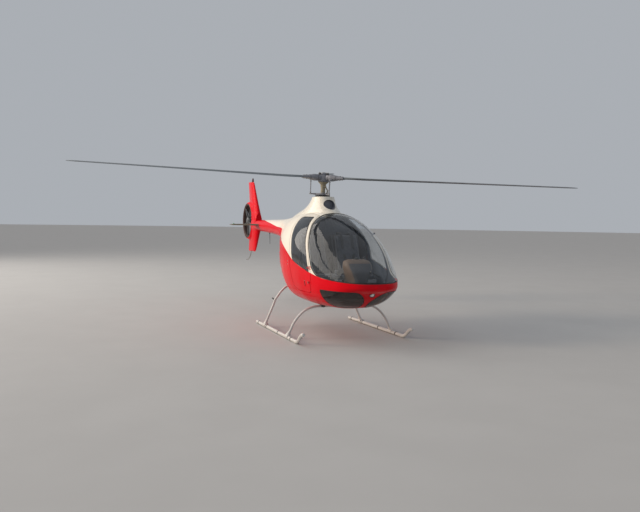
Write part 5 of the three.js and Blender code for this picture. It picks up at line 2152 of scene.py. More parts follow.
@dataclass
class MastFairing:
    """The fairing under the rotor with its oval intake and the hole for the mast."""

    rows: Rows = (
        (1.600, 0.330, -0.560, 1.150, 2.0),
        (1.700, 0.262, -0.480, 0.900, 2.0),
        (1.750, 0.228, -0.400, 0.690, 2.1),
        (1.795, 0.200, -0.318, 0.500, 2.2),
        (1.860, 0.168, -0.255, 0.340, 2.4),
        (1.920, 0.150, -0.222, 0.250, 2.6),
        (1.965, 0.142, -0.200, 0.215, 2.6),
    )
    intake: Triple = (1.845, 0.090, 0.074)
    bore: float = 0.122
    top: float = 1.965

    def ring(self, z: Array, angle: Array) -> Array:
        """Points of the fairing's outside at heights and angles in plan."""
        table = np.asarray(self.rows)
        half, front, back, power = steady(z, table[:, 0], table[:, 1:]).T
        pair = np.stack([np.cos(angle), np.sin(angle)], -1)
        pair = np.sign(pair) * np.abs(pair) ** (2 / power)[:, None]
        return np.column_stack(
            [half * pair[:, 0], 0.5 * (front + back) + 0.5 * (back - front) * pair[:, 1], z]
        )

    def front(self, x: Array, z: Array) -> Array:
        """Where the fairing's front lies at places across it and heights."""
        table = np.asarray(self.rows)
        half, front, back, power = steady(z, table[:, 0], table[:, 1:]).T
        depth = np.clip(1 - np.abs(x / half) ** power, 0, 1) ** (1 / power)
        return 0.5 * (front + back) - 0.5 * (back - front) * depth

    def build(self) -> None:
        """Builds the fairing, its top and the dark pocket behind the intake."""
        z0, half, high = self.intake
        z, angle = np.linspace(1.60, self.top - 0.010, 46), np.linspace(0, 2 * np.pi, 145)
        net = Net.grid(z, np.broadcast_to(angle, (46, 145)).copy())

        def place(uv: Array) -> Array:
            """The net's points on the fairing."""
            return self.ring(uv[:, 0], uv[:, 1])

        def mouth(p: Array) -> Array:
            """About how far points lie outside the intake's oval."""
            far = (np.hypot(p[:, 0] / half, (p[:, 2] - z0) / high) - 1) * 0.5 * (half + high)
            return np.where(p[:, 1] < -0.1, far, 1.0)

        net = net.cut(place, lambda p: p[:, 2] - SKIN.roof(p) - 0.0004).cut(place, mouth, snap=0.002)
        points, faces = weld(place(net.uv), net.faces)
        faces = faced(points, faces, points[faces].mean(axis=1) - (0, 0.1, 1.6))
        shape = panel(points, faces, 0.005, Coat.WHITE, Coat.PLASTIC, proud=0.0012)
        turn = np.linspace(0, 2 * np.pi, 97)[:-1]
        rim = self.ring(np.full(96, self.top - 0.010), turn)
        edge = self.ring(np.full(96, self.top), turn)
        centre = np.array([0.0024, -0.024, self.top])
        across = edge - centre
        bore = centre + across / np.linalg.norm(across, axis=1, keepdims=True) * self.bore
        rings = [
            rim, rim * 0.3 + edge * 0.7, edge * 0.97 + centre * 0.03, bore * 0.97 + edge * 0.03, bore,
            bore - (0, 0, 0.08)
        ]
        rings += [bore - (0, 0, 0.08) - 0.02 * (bore - centre), bore - (0, 0, 0.02) + 0.03 * (bore - centre)]
        rings[1] = rings[1] + (0, 0, 0.001)
        rings[2][:, 2] = rings[3][:, 2] = self.top - 0.0004
        closed_rings(np.array(rings).transpose(1, 0, 2), Coat.WHITE, shape)
        angle = np.linspace(0, 2 * np.pi, 65)[:-1]
        x, height = half * np.cos(angle), z0 + high * np.sin(angle)
        lip = np.column_stack([x, self.front(x, height), height])
        middle = np.array([0, 0, z0])

        def drawn(share: float, inset: float) -> Array:
            """The oval moved back towards the pocket's end and drawn in."""
            made = (lip - middle) * (1 - inset, 1, 1 - inset) + middle
            made[:, 1] = lip[:, 1] * (1 - share) - 0.162 * share
            return made

        rings = [
            drawn(1.0, 0.98), drawn(1.0, 0.14), drawn(0.7, 0.10), drawn(0.3, 0.06), drawn(0.04, 0.03),
            drawn(-0.02, 0.012)
        ]
        rings += [drawn(0.0, 0.0), drawn(0.3, 0.03), drawn(1.02, 0.10)]
        loft(np.array(rings), Coat.HEAD, shape)
        make_piece("mast_fairing_shell", shape, Body.FUSELAGE, ["mast_fairing"], 40)


def turn_about_up(angle: float) -> Array:
    """The matrix of a turn about the upward axis."""
    c, s = math.cos(angle), math.sin(angle)
    return np.array([[c, -s, 0], [s, c, 0], [0, 0, 1]])


@dataclass
class RotorHead:
    """Everything on the leaning mast: hub, sleeves, blades, swashplates and links."""

    centre: Triple = (0.0, 0.0, 2.25)
    tilt: float = 0.0842
    lean: float = 0.0099
    first: float = 0.0992 + math.pi
    coning: float = 0.016
    swash: float = -0.244
    horn_reach: float = 0.187
    horn_lead: float = 0.47
    sleeve: Rows = (
        (0.058, 0.056, 0.041),
        (0.105, 0.068, 0.047),
        (0.150, 0.074, 0.050),
        (0.210, 0.066, 0.040),
        (0.290, 0.049, 0.026),
        (0.360, 0.046, 0.019),
    )
    blade: Rows = (
        (0.3605, 0.096, 0.034, 0.14),
        (0.430, 0.112, 0.031, 0.14),
        (0.520, 0.150, 0.028, 0.14),
        (0.620, 0.176, 0.024, 0.134),
        (0.700, 0.180, 0.022, 0.13),
        (2.100, 0.180, 0.020, 0.07),
        (3.480, 0.180, 0.0155, 0.02),
        (3.540, 0.172, 0.013, 0.015),
        (3.580, 0.150, 0.010, 0.01),
        (3.600, 0.110, 0.006, 0.01),
    )

    @property
    def basis(self) -> Array:
        """Rows: two directions across the mast, and its axis."""
        axis_ = np.array([math.sin(self.lean), -math.sin(self.tilt), math.cos(self.tilt)])
        axis_ /= np.linalg.norm(axis_)
        x = SIDEWAYS - axis_ * axis_[0]
        x /= np.linalg.norm(x)
        return np.array([x, np.cross(axis_, x), axis_])

    def turn_of(self, k: int) -> float:
        """The angle of a blade."""
        return self.first + 2 * math.pi * k / 3

    def set_at(self, points: Sequence, turn: float = 0.0) -> Array:
        """Points given in the head's own frame, turned about its axis and put in place.

        Args:
            points: Out along the blade, across it and up the mast.
            turn: The angle.

        Returns:
            Points above the ground.
        """
        points = np.asarray(points, float)
        c, s = math.cos(turn), math.sin(turn)
        x, y = points[..., 0] * c - points[..., 1] * s, points[..., 0] * s + points[..., 1] * c
        return np.stack([x, y, points[..., 2]], -1) @ self.basis + np.asarray(self.centre)

    def placed(self, shape: Shape, turn: float = 0.0) -> Shape:
        """A shape that was made in the head's own frame, put in place."""
        shape.points = [self.set_at(points, turn) for points in shape.points]
        return shape

    def build_mast(self) -> None:
        """The mast with its flared top."""
        z = np.array([-0.560, -0.300, -0.150, -0.120, -0.105, -0.090, -0.075, -0.066, -0.061])
        r = np.array([0.034, 0.034, 0.034, 0.0355, 0.041, 0.052, 0.068, 0.078, 0.080])
        shape = turned(list(zip(r, z)), (0, 0, 0), UP, Coat.OLIVE, sides=40)
        hooped(
            [(0.033, -0.225), (0.0385, -0.223), (0.0385, -0.215), (0.033, -0.213)], (0, 0, 0), UP, Coat.STEEL,
            shape
        )
        make_piece("mast_shaft", self.placed(shape), Body.MAIN, ["rotor_mast"])

    def build_hub(self) -> None:
        """The hub: a drum, three arms, a domed cap and the bolts that hold the sleeves."""
        shape = turned(
            [
                (0.074, -0.0597), (0.082, -0.0560), (0.084, -0.050), (0.084, 0.030), (0.080, 0.037),
                (0.070, 0.040)
            ],
            (0, 0, 0), UP, Coat.HEAD, sides=48
        )
        cap = [
            (0.050, 0.039), (0.048, 0.046), (0.046, 0.055), (0.043, 0.064), (0.036, 0.0705), (0.022, 0.072)
        ]
        turned(cap, (0, 0, 0), UP, Coat.HEAD, shape, 32)
        turned(rounded(0.012, 0.010, 0.003), (0, 0, 0.071), UP, Coat.STEEL, shape, 6)
        for k in range(3):
            c, s = math.cos(self.turn_of(k)), math.sin(self.turn_of(k))
            turn = turn_about_up(self.turn_of(k))
            slab((0.062 * c, 0.062 * s, 0.030), (0.040, 0.042, 0.010), Coat.HEAD, shape, 0.006, turn)
            for across in (-0.020, 0.020):
                at = np.array([c * 0.066 - s * across, s * 0.066 + c * across, 0.038])
                turned(rounded(0.0145, 0.006, 0.001), at, UP, Coat.STEEL, shape, 20)
                turned(rounded(0.0125, 0.026, 0.0025), at + (0, 0, 0.005), UP, Coat.DARK, shape, 6)
                turned(rounded(0.0075, 0.012, 0.002), at + (0, 0, 0.030), UP, Coat.STEEL, shape, 14)
        make_piece("hub_drum", self.placed(shape), Body.MAIN, ["rotor_hub"])

    def build_sleeve(self, k: int) -> None:
        """One spindle-shaped sleeve with its pitch horn and blade pins.

        Args:
            k: Which blade.
        """
        r = np.linspace(0.058, 0.3595, 40)
        wide, high = steady(r, [row[0] for row in self.sleeve], [row[1:] for row in self.sleeve]).T
        path = np.column_stack([r, np.zeros(40), r * self.coning])
        shape = tube(path, wide, Coat.HEAD, high=high, sides=36, power=2.2)
        tip = (self.horn_reach * math.cos(self.horn_lead), -self.horn_reach * math.sin(self.horn_lead))
        horn = smooth_path(
            [(0.190, -0.030, 0.190 * self.coning - 0.008), (0.182, -0.062, -0.020), (*tip, -0.032)], 14
        )
        tube(
            horn, np.linspace(0.017, 0.0125, 14), Coat.HEAD, shape, high=np.linspace(0.020, 0.0125, 14),
            sides=18
        )
        turned(rounded(0.0165, 0.022, 0.004), (*tip, -0.043), UP, Coat.HEAD, shape, 20)
        for reach in (0.285, 0.325):
            height = float(np.interp(reach, r, high))
            base = np.array([reach, 0, reach * self.coning])
            turned(
                rounded(0.0115, 2 * height + 0.012, 0.002), base - (0, 0, height + 0.006), UP, Coat.STEEL,
                shape, 18
            )
            turned(rounded(0.0165, 0.004, 0.001), base + (0, 0, height - 0.0005), UP, Coat.DARK, shape, 18)
        for reach in (0.118, 0.236):
            wide_, high_ = np.interp(reach, r, wide) * 1.012, np.interp(reach, r, high) * 1.012
            path_ = np.column_stack(
                [np.linspace(reach - 0.005, reach + 0.005, 4), np.zeros(4), np.full(4, reach * self.coning)]
            )
            rise = np.array([0.99, 1.0, 1.0, 0.99])
            tube(path_, wide_ * rise, Coat.DARK, shape, high=high_ * rise, sides=36, power=2.2)
        make_piece(
            f"blade_grip_{k + 1}", self.placed(shape, self.turn_of(k)), Body.MAIN, [f"blade_sleeve_{k + 1}"],
            40
        )

    def build_blade(self, k: int) -> None:
        """One blade with a metal strip on its leading edge.

        Formula: a cambered four-digit section on each chord, turned by the twist and drawn to a blunt round
        tip.

        Args:
            k: Which blade.
        """
        table = np.asarray(self.blade)
        runs = ((0.3605, 0.70, 18), (0.80, 3.40, 27), (3.45, 3.58, 8), (3.585, 3.5995, 5))
        r = np.concatenate([np.linspace(*run) for run in runs])
        chord, thick, twist = np.stack([np.interp(r, table[:, 0], table[:, c]) for c in (1, 2, 3)])
        root = r < 0.70
        chord[root], thick[root], twist[root] = steady(r[root], table[:, 0], table[:, 1:]).T
        t = (1 - np.cos(np.linspace(0, np.pi, 17))) / 2
        half = foil(t)
        camber = 0.10 * (4 * t * (1 - t))
        along = np.concatenate([t, t[-2:0:-1]])
        up = np.concatenate([half + camber, (camber - half)[-2:0:-1]])
        y, z = (along[None] - 0.28) * chord[:, None], up[None] * thick[:, None]
        c, s = np.cos(twist)[:, None], np.sin(twist)[:, None]
        rings = np.stack(
            [np.broadcast_to(r[:, None], y.shape), y * c + z * s, r[:, None] * self.coning - y * s + z * c],
            -1
        )
        shape = loft(self.set_at(rings, self.turn_of(k)), Coat.BLADE)
        sides = len(along)
        row, column = np.divmod(np.arange(len(shape.slots[0])), sides)
        shape.repaint(0, ((column < 3) | (column >= sides - 3)) & (r[row] > 1.3) & (r[row] < 3.55), Coat.EDGE)
        make_piece(f"rotor_blade_{k + 1}", shape, Body.MAIN, [f"blade_{k + 1}"], 60)

    def build_plates(self) -> None:
        """The swashplates with their spokes and scissors, and the guide round the mast."""
        z = self.swash
        rim = [
            (0.036, z - 0.011), (0.099, z - 0.011), (0.104, z - 0.007), (0.104, z + 0.006),
            (0.098, z + 0.011), (0.060, z + 0.011), (0.054, z + 0.016), (0.036, z + 0.016)
        ]
        shape = hooped(rim, (0, 0, 0), UP, Coat.HEAD)
        for k in range(3):
            turn = self.turn_of(k) - self.horn_lead
            c, s = math.cos(turn), math.sin(turn)
            spoke = np.array([(r * c, r * s, z) for r in (0.080, 0.12, 0.16, 0.199)])
            tube(spoke, np.array([0.0145, 0.0125, 0.010, 0.009]), Coat.HEAD, shape, sides=18)
            turned(
                rounded(0.0125, 0.020, 0.003), (self.horn_reach * c, self.horn_reach * s, z - 0.010), UP,
                Coat.STEEL, shape, 18
            )
        turn = turn_about_up(math.radians(24))
        low, knee, high = (
            np.array(p) @ turn.T for p in ((0, -0.078, z + 0.005), (0, -0.096, -0.188), (0, -0.044, -0.124))
        )
        side = SIDEWAYS @ turn.T
        for p, q in ((low, knee), (knee, high)):
            for shift in (-0.007, 0.007):
                tube(
                    np.linspace(p + side * shift, q + side * shift, 5), 0.0035, Coat.OLIVE, shape,
                    high=0.0065, sides=14, power=3, up=side
                )
        for p in (low, knee, high):
            turned(rounded(0.0055, 0.030, 0.0015), p - 0.015 * side, side, Coat.STEEL, shape, 14)
        collar = [(0.0345, -0.137), (0.041, -0.135), (0.0415, -0.113), (0.0345, -0.111)]
        hooped(collar, (0, 0, 0), UP, Coat.OLIVE, shape)
        slab(np.array((0, -0.046, -0.124)) @ turn.T, (0.011, 0.010, 0.011), Coat.OLIVE, shape, 0.003, turn)
        make_piece("swashplate_upper", self.placed(shape), Body.MAIN, ["swashplate_rotating"])
        rim = [
            (0.040, z - 0.042), (0.106, z - 0.042), (0.112, z - 0.038), (0.112, z - 0.022),
            (0.106, z - 0.017), (0.040, z - 0.017)
        ]
        shape = hooped(rim, (0, 0, 0), UP, Coat.DARK)
        guide = [
            (0.040, -0.5597), (0.054, -0.5597), (0.054, z - 0.042), (0.050, z - 0.034), (0.040, z - 0.034)
        ]
        hooped(guide, (0, 0, 0), UP, Coat.OLIVE, shape)
        make_piece(
            "swashplate_lower", self.placed(shape), Body.FUSELAGE, ["swashplate_fixed"]
        )

    def build_link(self, k: int) -> None:
        """One pitch link: a rod with a turnbuckle and a rod end at each end.

        Args:
            k: Which blade.
        """
        foot, low, high = self.horn_reach - 0.003, self.swash + 0.0125, -0.046
        z = np.array([low + 0.012, low + 0.045, -0.150, -0.085, high - 0.014])
        x = np.interp(z, (low, high), (foot, self.horn_reach))
        path = np.column_stack([x, np.zeros(5), z])
        shape = tube(path, np.array([0.0045, 0.0068, 0.0068, 0.0068, 0.0045]), Coat.HEAD, sides=16, up=AFT)
        for height in (low + 0.038, -0.096):
            at = np.interp(height, z, x)
            turned(rounded(0.0095, 0.009, 0.001), (at, 0, height), UP, Coat.STEEL, shape, 6)
        for at, height in ((foot, low + 0.010), (self.horn_reach, high - 0.012)):
            turned(rounded(0.0115, 0.012, 0.003), (at, -0.006, height), AFT, Coat.HEAD, shape, 24)
            turned(rounded(0.0055, 0.022, 0.001), (at, -0.011, height), AFT, Coat.STEEL, shape, 14)
        make_piece(
            f"pitch_rod_{k + 1}", self.placed(shape, self.turn_of(k) - self.horn_lead), Body.MAIN,
            [f"pitch_link_{k + 1}"]
        )

    def build(self) -> None:
        """Builds the whole head."""
        self.build_mast()
        self.build_hub()
        self.build_plates()
        for k in range(3):
            self.build_sleeve(k)
            self.build_blade(k)
            self.build_link(k)


@dataclass
class DuctedFan:
    """The fan in the fin and the gearbox that carries it."""

    at: Triple = FAN_CENTRE
    blades: int = 7
    pitch: float = 0.62
    struts: int = 5
    bore: float = FAN_BORE

    def spun(self, points: Array, angle: float) -> Array:
        """Points turned about the fan's axis and put in place."""
        c, s = math.cos(angle), math.sin(angle)
        y, z = points[..., 1] * c - points[..., 2] * s, points[..., 1] * s + points[..., 2] * c
        return np.stack([points[..., 0], y, z], -1) + np.asarray(self.at)

    def build_rotor(self) -> None:
        """The hub with its dome and bolts, and the blades."""
        profile = [
            (0.080, -0.024), (0.086, -0.022), (0.088, -0.018), (0.088, 0.030), (0.086, 0.0355),
            (0.078, 0.042), (0.062, 0.0505), (0.040, 0.0555), (0.015, 0.058)
        ]
        shape = turned(profile, self.at, SIDEWAYS, Coat.DARK, sides=48)
        for i in range(self.blades):
            angle = 2 * math.pi * (i + 0.5) / self.blades
            spot = self.spun(np.array([[0.0445, 0, 0.066]]), angle)[0]
            turned(rounded(0.005, 0.005, 0.001), spot, SIDEWAYS, Coat.STEEL, shape, 6)
        r = np.linspace(0.070, 0.2985, 14)
        share = (r - 0.06) / 0.24
        chord, thick = 0.074 - 0.016 * share, 0.016 - 0.008 * share
        t = (1 - np.cos(np.linspace(0, np.pi, 13))) / 2
        half = foil(t)
        c = np.concatenate([t, t[-2:0:-1]])[None] - 0.5
        h = np.concatenate([half, -half[-2:0:-1]])[None]
        along, across = c * chord[:, None], h * thick[:, None]
        cos, sin = math.cos(self.pitch), math.sin(self.pitch)
        rings = np.stack(
            [
                along * sin + across * cos, along * cos - across * sin,
                np.broadcast_to(r[:, None], along.shape)
            ],
            -1
        )
        for i in range(self.blades):
            loft(self.spun(rings, 2 * math.pi * i / self.blades), Coat.HEAD, shape)
        make_piece("fan_wheel", shape, Body.TAIL, ["fan_rotor"])

    def build_gearbox(self) -> None:
        """The gearbox: a finned drum on streamlined struts."""
        profile = [
            (0.030, -0.084), (0.040, -0.084), (0.048, -0.080), (0.060, -0.070), (0.066, -0.064),
            (0.070, -0.055), (0.078, -0.040), (0.080, -0.033), (0.026, -0.0325), (0.024, -0.0245)
        ]
        shape = turned(profile, self.at, SIDEWAYS, Coat.CASTING, sides=40)
        for i in range(6):
            spot = self.spun(np.array([[-0.0835, 0, 0.030]]), math.pi * i / 3)[0]
            turned(rounded(0.0045, 0.004, 0.001), spot + (0.0035, 0, 0), (-1, 0, 0), Coat.STEEL, shape, 6)
        for i in range(self.struts):
            angle = 2 * math.pi * (i + 0.5) / self.struts
            path = np.array([(-0.051, 0, r) for r in np.linspace(0.062, self.bore - 0.002, 6)])
            vane = tube(path, 0.0150, Coat.CASTING, high=0.0060, sides=20, up=AFT)
            shape.join(
                Shape([self.spun(vane.points[0], angle)], vane.faces, vane.slots, vane.coats, vane.count)
            )
        make_piece("fan_gear_case", shape, Body.FUSELAGE, ["fan_gearbox"])

    def build(self) -> None:
        """Builds the fan and its gearbox."""
        self.build_rotor()
        self.build_gearbox()


@dataclass
class LandingGear:
    """Skids with wear shoes, on two bowed cross tubes."""

    track: float = 0.787
    radius: float = 0.025
    tube: float = 0.017
    skid: Rows = (
        (0.754, 0.025),
        (0.200, 0.025),
        (-0.400, 0.025),
        (-1.000, 0.025),
        (-1.090, 0.026),
        (-1.145, 0.037),
        (-1.195, 0.067),
        (-1.250, 0.111),
        (-1.305, 0.143),
        (-1.375, 0.159),
    )
    front: Rows = (
        (0.785, 0.050), (0.743, 0.125), (0.708, 0.203), (0.654, 0.279), (0.599, 0.337), (0.544, 0.379),
        (0.480, 0.409), (0.395, 0.429), (0.240, 0.434)
    )
    rear: Rows = (
        (0.786, 0.050),
        (0.752, 0.135),
        (0.703, 0.248),
        (0.663, 0.340),
        (0.640, 0.408),
        (0.604, 0.458),
        (0.565, 0.512),
        (0.515, 0.567),
        (0.464, 0.606),
        (0.400, 0.634),
        (0.240, 0.652),
    )
    places: tuple[float, float] = (-0.737, 0.307)

    def build_skid(self, side: Side) -> None:
        """One skid tube with rounded ends and a worn shoe.

        Args:
            side: Which side.
        """
        x = side.value * self.track
        path = smooth_path([(x, y, z) for y, z in self.skid], 90)
        run, added = run_along(path), np.array([0.002, 0.006, 0.012])
        path = read_line(path, run, np.sort(np.concatenate([run, added, run[-1] - added])))
        run = run_along(path)
        end = np.clip(np.minimum(run, run[-1] - run) / 0.014, 0, 1)
        wide = self.radius * (0.45 + 0.55 * np.sqrt(1 - (1 - end) ** 2))
        shape = tube(path, wide, Coat.SKID, sides=28, up=SIDEWAYS)
        slab((x, -0.143, 0.0045), (0.0165, 0.836, 0.0045), Coat.SHOE, shape, 0.003)
        for y in (-0.90, -0.35, 0.20, 0.62):
            hooped(
                [(0.0247, -0.011), (0.0265, -0.010), (0.0265, 0.010), (0.0247, 0.011)],
                (x, y, self.radius + 0.0016), AFT, Coat.DARK, shape, 32
            )
        lowest = 0.0003
        shape.points = [np.column_stack([p[:, :2], np.maximum(p[:, 2], lowest)]) for p in shape.points]
        make_piece(f"skid_tube_{side.word}", shape, Body.FUSELAGE, [f"skid_{side.word}"], 45)

    def build_cross(self, front: bool) -> None:
        """One cross tube with its collars, and its clamps or step pegs.

        Args:
            front: Whether it is the front one.
        """
        y, side = (self.places[0], self.front) if front else (self.places[1], self.rear)
        ends = [(-x, y, z) for x, z in side] + [(x, y, z) for x, z in reversed(side)]
        shape = tube(smooth_path(ends, 110), self.tube, Coat.SKID, sides=24, up=AFT)
        for sign in (-1, 1):
            x = sign * self.track
            turned(
                rounded(self.radius + 0.009, 0.110, 0.005), (x, y - 0.055, self.radius + 0.0093), AFT,
                Coat.SKID, shape, 32
            )
            lean = np.array([side[1][0] - side[0][0], 0, side[1][1] - side[0][1]]) * (sign, 1, 1)
            turned(
                [(0.029, 0.0), (0.027, 0.020), (0.0215, 0.050), (0.0185, 0.056)],
                (sign * side[0][0], y, side[0][1]), lean, Coat.SKID, shape, 28
            )
            for shift in (-0.038, 0.038):
                for across in (-0.022, 0.022):
                    turned(
                        rounded(0.0055, 0.006, 0.001), (x + across, y + shift, self.radius + 0.0320),
                        (across * 12, 0, 1), Coat.STEEL, shape, 6
                    )
            if front:
                slab((sign * 0.28, y, 0.4375), (0.027, 0.037, 0.016), Coat.DARK, shape, 0.005)
                for shift in (-0.026, 0.026):
                    turned(
                        rounded(0.006, 0.008, 0.001), (sign * 0.28, y + shift, 0.4225), DOWN, Coat.STEEL,
                        shape, 6
                    )
            else:
                peg = np.linspace((sign * 0.640, y, 0.404), (sign * 0.662, y + 0.062, 0.432), 6)
                tube(peg, np.linspace(0.0105, 0.009, 6), Coat.RUBBER, shape, sides=18)
        make_piece(
            "cross_tube_" + ("forward" if front else "aft"), shape, Body.FUSELAGE,
            ["cross_tube_" + ("front" if front else "rear")], 45
        )

    def build(self) -> None:
        """Builds both skids and both cross tubes."""
        for side in Side:
            self.build_skid(side)
        self.build_cross(True)
        self.build_cross(False)


@dataclass
class Seat:
    """One seat: a moulded shell on a box, two cushions with piping, and a harness."""

    side: Side
    across: float = 0.265
    upper: Rows = (
        (-0.868, 0.770), (-0.860, 0.797), (-0.740, 0.790), (-0.560, 0.775), (-0.440, 0.768), (-0.405, 0.790),
        (-0.370, 0.870), (-0.290, 1.090), (-0.210, 1.300), (-0.172, 1.398)
    )
    lower: Rows = (
        (-0.862, 0.748), (-0.845, 0.742), (-0.720, 0.742), (-0.540, 0.742), (-0.380, 0.745), (-0.330, 0.765),
        (-0.305, 0.850), (-0.230, 1.075), (-0.160, 1.290), (-0.128, 1.398)
    )

    @property
    def x(self) -> float:
        """The middle of the seat."""
        return self.side.value * self.across

    def build(self) -> None:
        """Builds the seat's pieces."""
        self.build_shell()
        self.build_cushion("seat")
        self.build_cushion("back")
        self.build_harness()

    def build_shell(self) -> None:
        """The shell, raised at both sides, on a vented box.

        Formula: rings between the upper and lower lines seen from the side, of a rounded rectangle; points
        rise along the thickness by the sixth power of their distance from the middle.
        """
        count, sides = 40, 44
        top, low = (smooth_path([(0, y, z) for y, z in rows], count) for rows in (self.upper, self.lower))
        middle, half = 0.5 * (top + low), 0.5 * (top - low)
        ring = ellipse_ring(sides, 7)
        rise = 0.35 * np.abs(ring[:, 0]) ** 6
        rings = middle[:, None] + (
            0.213 * ring[:, :1]
        ) * SIDEWAYS + half[:, None] * (ring[:, 1] + rise)[None, :, None]
        shape = loft(rings + (self.x, 0, 0), Coat.SHELL)
        shape.repaint(0, middle[np.arange(len(shape.slots[0])) // sides, 2] > 0.86, Coat.BACK)
        slab((self.x, -0.570, 0.652), (0.123, 0.228, 0.090), Coat.TRIM, shape, 0.014)
        for y in (-0.68, -0.57, -0.46):
            for sign in (-1, 1):
                for z in (0.62, 0.65, 0.68):
                    slab((self.x + sign * 0.1225, y, z), (0.0020, 0.040, 0.0045), Coat.DARK, shape, 0.0015)
        for sign in (-1, 1):
            slab((self.x + sign * 0.105, -0.57, 0.5655), (0.011, 0.215, 0.005), Coat.DARK, shape, 0.002)
        make_piece(
            f"seat_bucket_{self.side.word}", shape, Body.FUSELAGE, [f"seat_{self.side.word}"],
            45
        )

    def pad_form(self, part: str) -> tuple[Array, Array, Array]:
        """The cushion's middle line, its upward direction and half its thickness, seen from the side."""
        if part == "seat":
            line = np.array([(-0.858, 0.832), (-0.700, 0.829), (-0.560, 0.815), (-0.462, 0.802)])
            thick = np.array([0.033, 0.033, 0.031, 0.029])
        else:
            line = np.array([(-0.428, 0.862), (-0.362, 1.020), (-0.285, 1.215), (-0.212, 1.408)])
            thick = np.array([0.034, 0.036, 0.034, 0.024])
        path = smooth_path([(0, y, z) for y, z in line], 30)
        along = np.gradient(path, axis=0)
        along /= np.linalg.norm(along, axis=1, keepdims=True)
        up = np.cross(SIDEWAYS, along)
        up *= np.sign((up * ((0, -0.3, 1) if part == "seat" else (0, -1, 0.3))).sum(axis=1, keepdims=True))
        return path, up, np.interp(np.linspace(0, 1, 30), np.linspace(0, 1, 4), thick)

    def build_cushion(self, part: str) -> None:
        """One cushion, swelled by a cloth simulation, with piping round it.

        Formula: rings of a rounded rectangle along the middle line, blunt at both ends; the piping follows
        the swelled skin's own nearest points.

        Args:
            part: seat or back.
        """
        path, up, thick = self.pad_form(part)
        count, sides = 30, 40
        ring = ellipse_ring(sides, 5)
        run = np.linspace(0, 1, count)
        end = np.clip(np.minimum(run, 1 - run) / 0.05, 0, 1)
        blunt = 0.80 + 0.20 * np.sqrt(1 - (1 - end) ** 2)
        width = 0.196 * (0.94 + 0.06 * blunt) * (1.0 if part == "seat" else 1 - 0.08 * run**2)
        centre = path + (self.x, 0, 0)
        wide = (width[:, None] * ring[None, :, 0])[..., None] * SIDEWAYS
        high = (thick[:, None] * blunt[:, None] * ring[None, :, 1])[..., None] * up[:, None]
        skin, word = loft(centre[:, None] + wide + high, Coat.FABRIC), self.side.word
        piece = make_piece(
            f"{part}_pad_{word}", skin, Body.FUSELAGE, [f"{part}_cushion_{word}"], 80
        )
        swell(piece, self.swell_cap(part), up.mean(axis=0)[None])
        points = np.empty(len(piece.data.vertices) * 3)
        piece.data.vertices.foreach_get("co", points)
        points = points.reshape(-1, 3) + (0, 0, BELLY)
        shape, inner, ends = Shape(), np.arange(1, count - 1), np.linspace(-1, 1, 9)
        rows = np.concatenate([np.zeros(9, int), inner, np.full(9, count - 1), inner[::-1]])
        place = np.concatenate([ends, np.ones(count - 2), ends[::-1], -np.ones(count - 2)])
        corner = centre[rows] + (place * width[rows] * 0.97)[:, None] * SIDEWAYS
        corner = corner + up[rows] * thick[rows][:, None] * 0.72
        near = np.array([points[np.argmin(((points - c) ** 2).sum(axis=1))] for c in corner])
        loop = np.concatenate([near, near[:1]])
        for _ in range(3):
            between_ends = 0.25 * loop[:-2] + 0.5 * loop[1:-1] + 0.25 * loop[2:]
            end = 0.25 * loop[-2] + 0.5 * loop[0] + 0.25 * loop[1]
            loop = np.concatenate([[end], between_ends, [end]])
        loop = smooth_path(loop, 160)
        ring_tube(loop[:-1], 0.0042, Coat.PIPING, shape)
        make_piece(f"{part}_piping_{self.side.word}", shape, Body.FUSELAGE, crease=80)

    def swell_cap(self, part: str) -> float:
        """How far the cushion may swell."""
        return 0.016 if part == "seat" else 0.014

    def build_harness(self) -> None:
        """Two shoulder straps, two lap straps and their buckle."""
        shape = Shape()
        x = self.x
        for sign in (-1, 1):
            strap = smooth_path(
                [
                    (x + sign * 0.085, -0.115, 1.375), (x + sign * 0.085, -0.150, 1.437),
                    (x + sign * 0.084, -0.245, 1.420), (x + sign * 0.075, -0.365, 1.140),
                    (x + sign * 0.050, -0.452, 0.980), (x + sign * 0.022, -0.520, 0.905)
                ],
                40
            )
            tube(strap, 0.0225, Coat.WEBBING, shape, high=0.0011, sides=12, power=6, up=(0, -0.7, 0.7))
            lap = smooth_path(
                [
                    (x + sign * 0.212, -0.430, 0.800), (x + sign * 0.205, -0.470, 0.868),
                    (x + sign * 0.130, -0.520, 0.884), (x + sign * 0.025, -0.545, 0.888)
                ],
                26
            )
            tube(lap, 0.0013, Coat.WEBBING, shape, high=0.0225, sides=12, power=6)
        slab((x, -0.540, 0.892), (0.026, 0.026, 0.009), Coat.DARK, shape, 0.005)
        turned(rounded(0.019, 0.006, 0.002), (x, -0.540, 0.900), UP, Coat.STEEL, shape)
        make_piece(f"harness_{self.side.word}", shape, Body.FUSELAGE, crease=60)


def ring_tube(path: Array, radius: float, coat: Coat, shape: Shape, sides: int = 10) -> Shape:
    """A tube round a closed path.

    Formula: each ring lies across the tangent, in the direction away from the path's middle and in that
    direction's cross product with the tangent.

    Args:
        path: Points once round.
        radius: Its radius.
        coat: The finish.
        shape: The shape that it is added to.
        sides: Points round the section.

    Returns:
        The shape.
    """
    tangent = np.roll(path, -1, axis=0) - np.roll(path, 1, axis=0)
    tangent /= np.linalg.norm(tangent, axis=1, keepdims=True)
    across = path - path.mean(axis=0)
    across -= tangent * (across * tangent).sum(axis=1, keepdims=True)
    across /= np.linalg.norm(across, axis=1, keepdims=True)
    upward = np.cross(tangent, across)
    ring = ellipse_ring(sides)
    rings = path[:, None] + radius * (
        ring[None, :, :1] * across[:, None] + ring[None, :, 1:] * upward[:, None]
    )
    return closed_rings(rings, coat, shape)


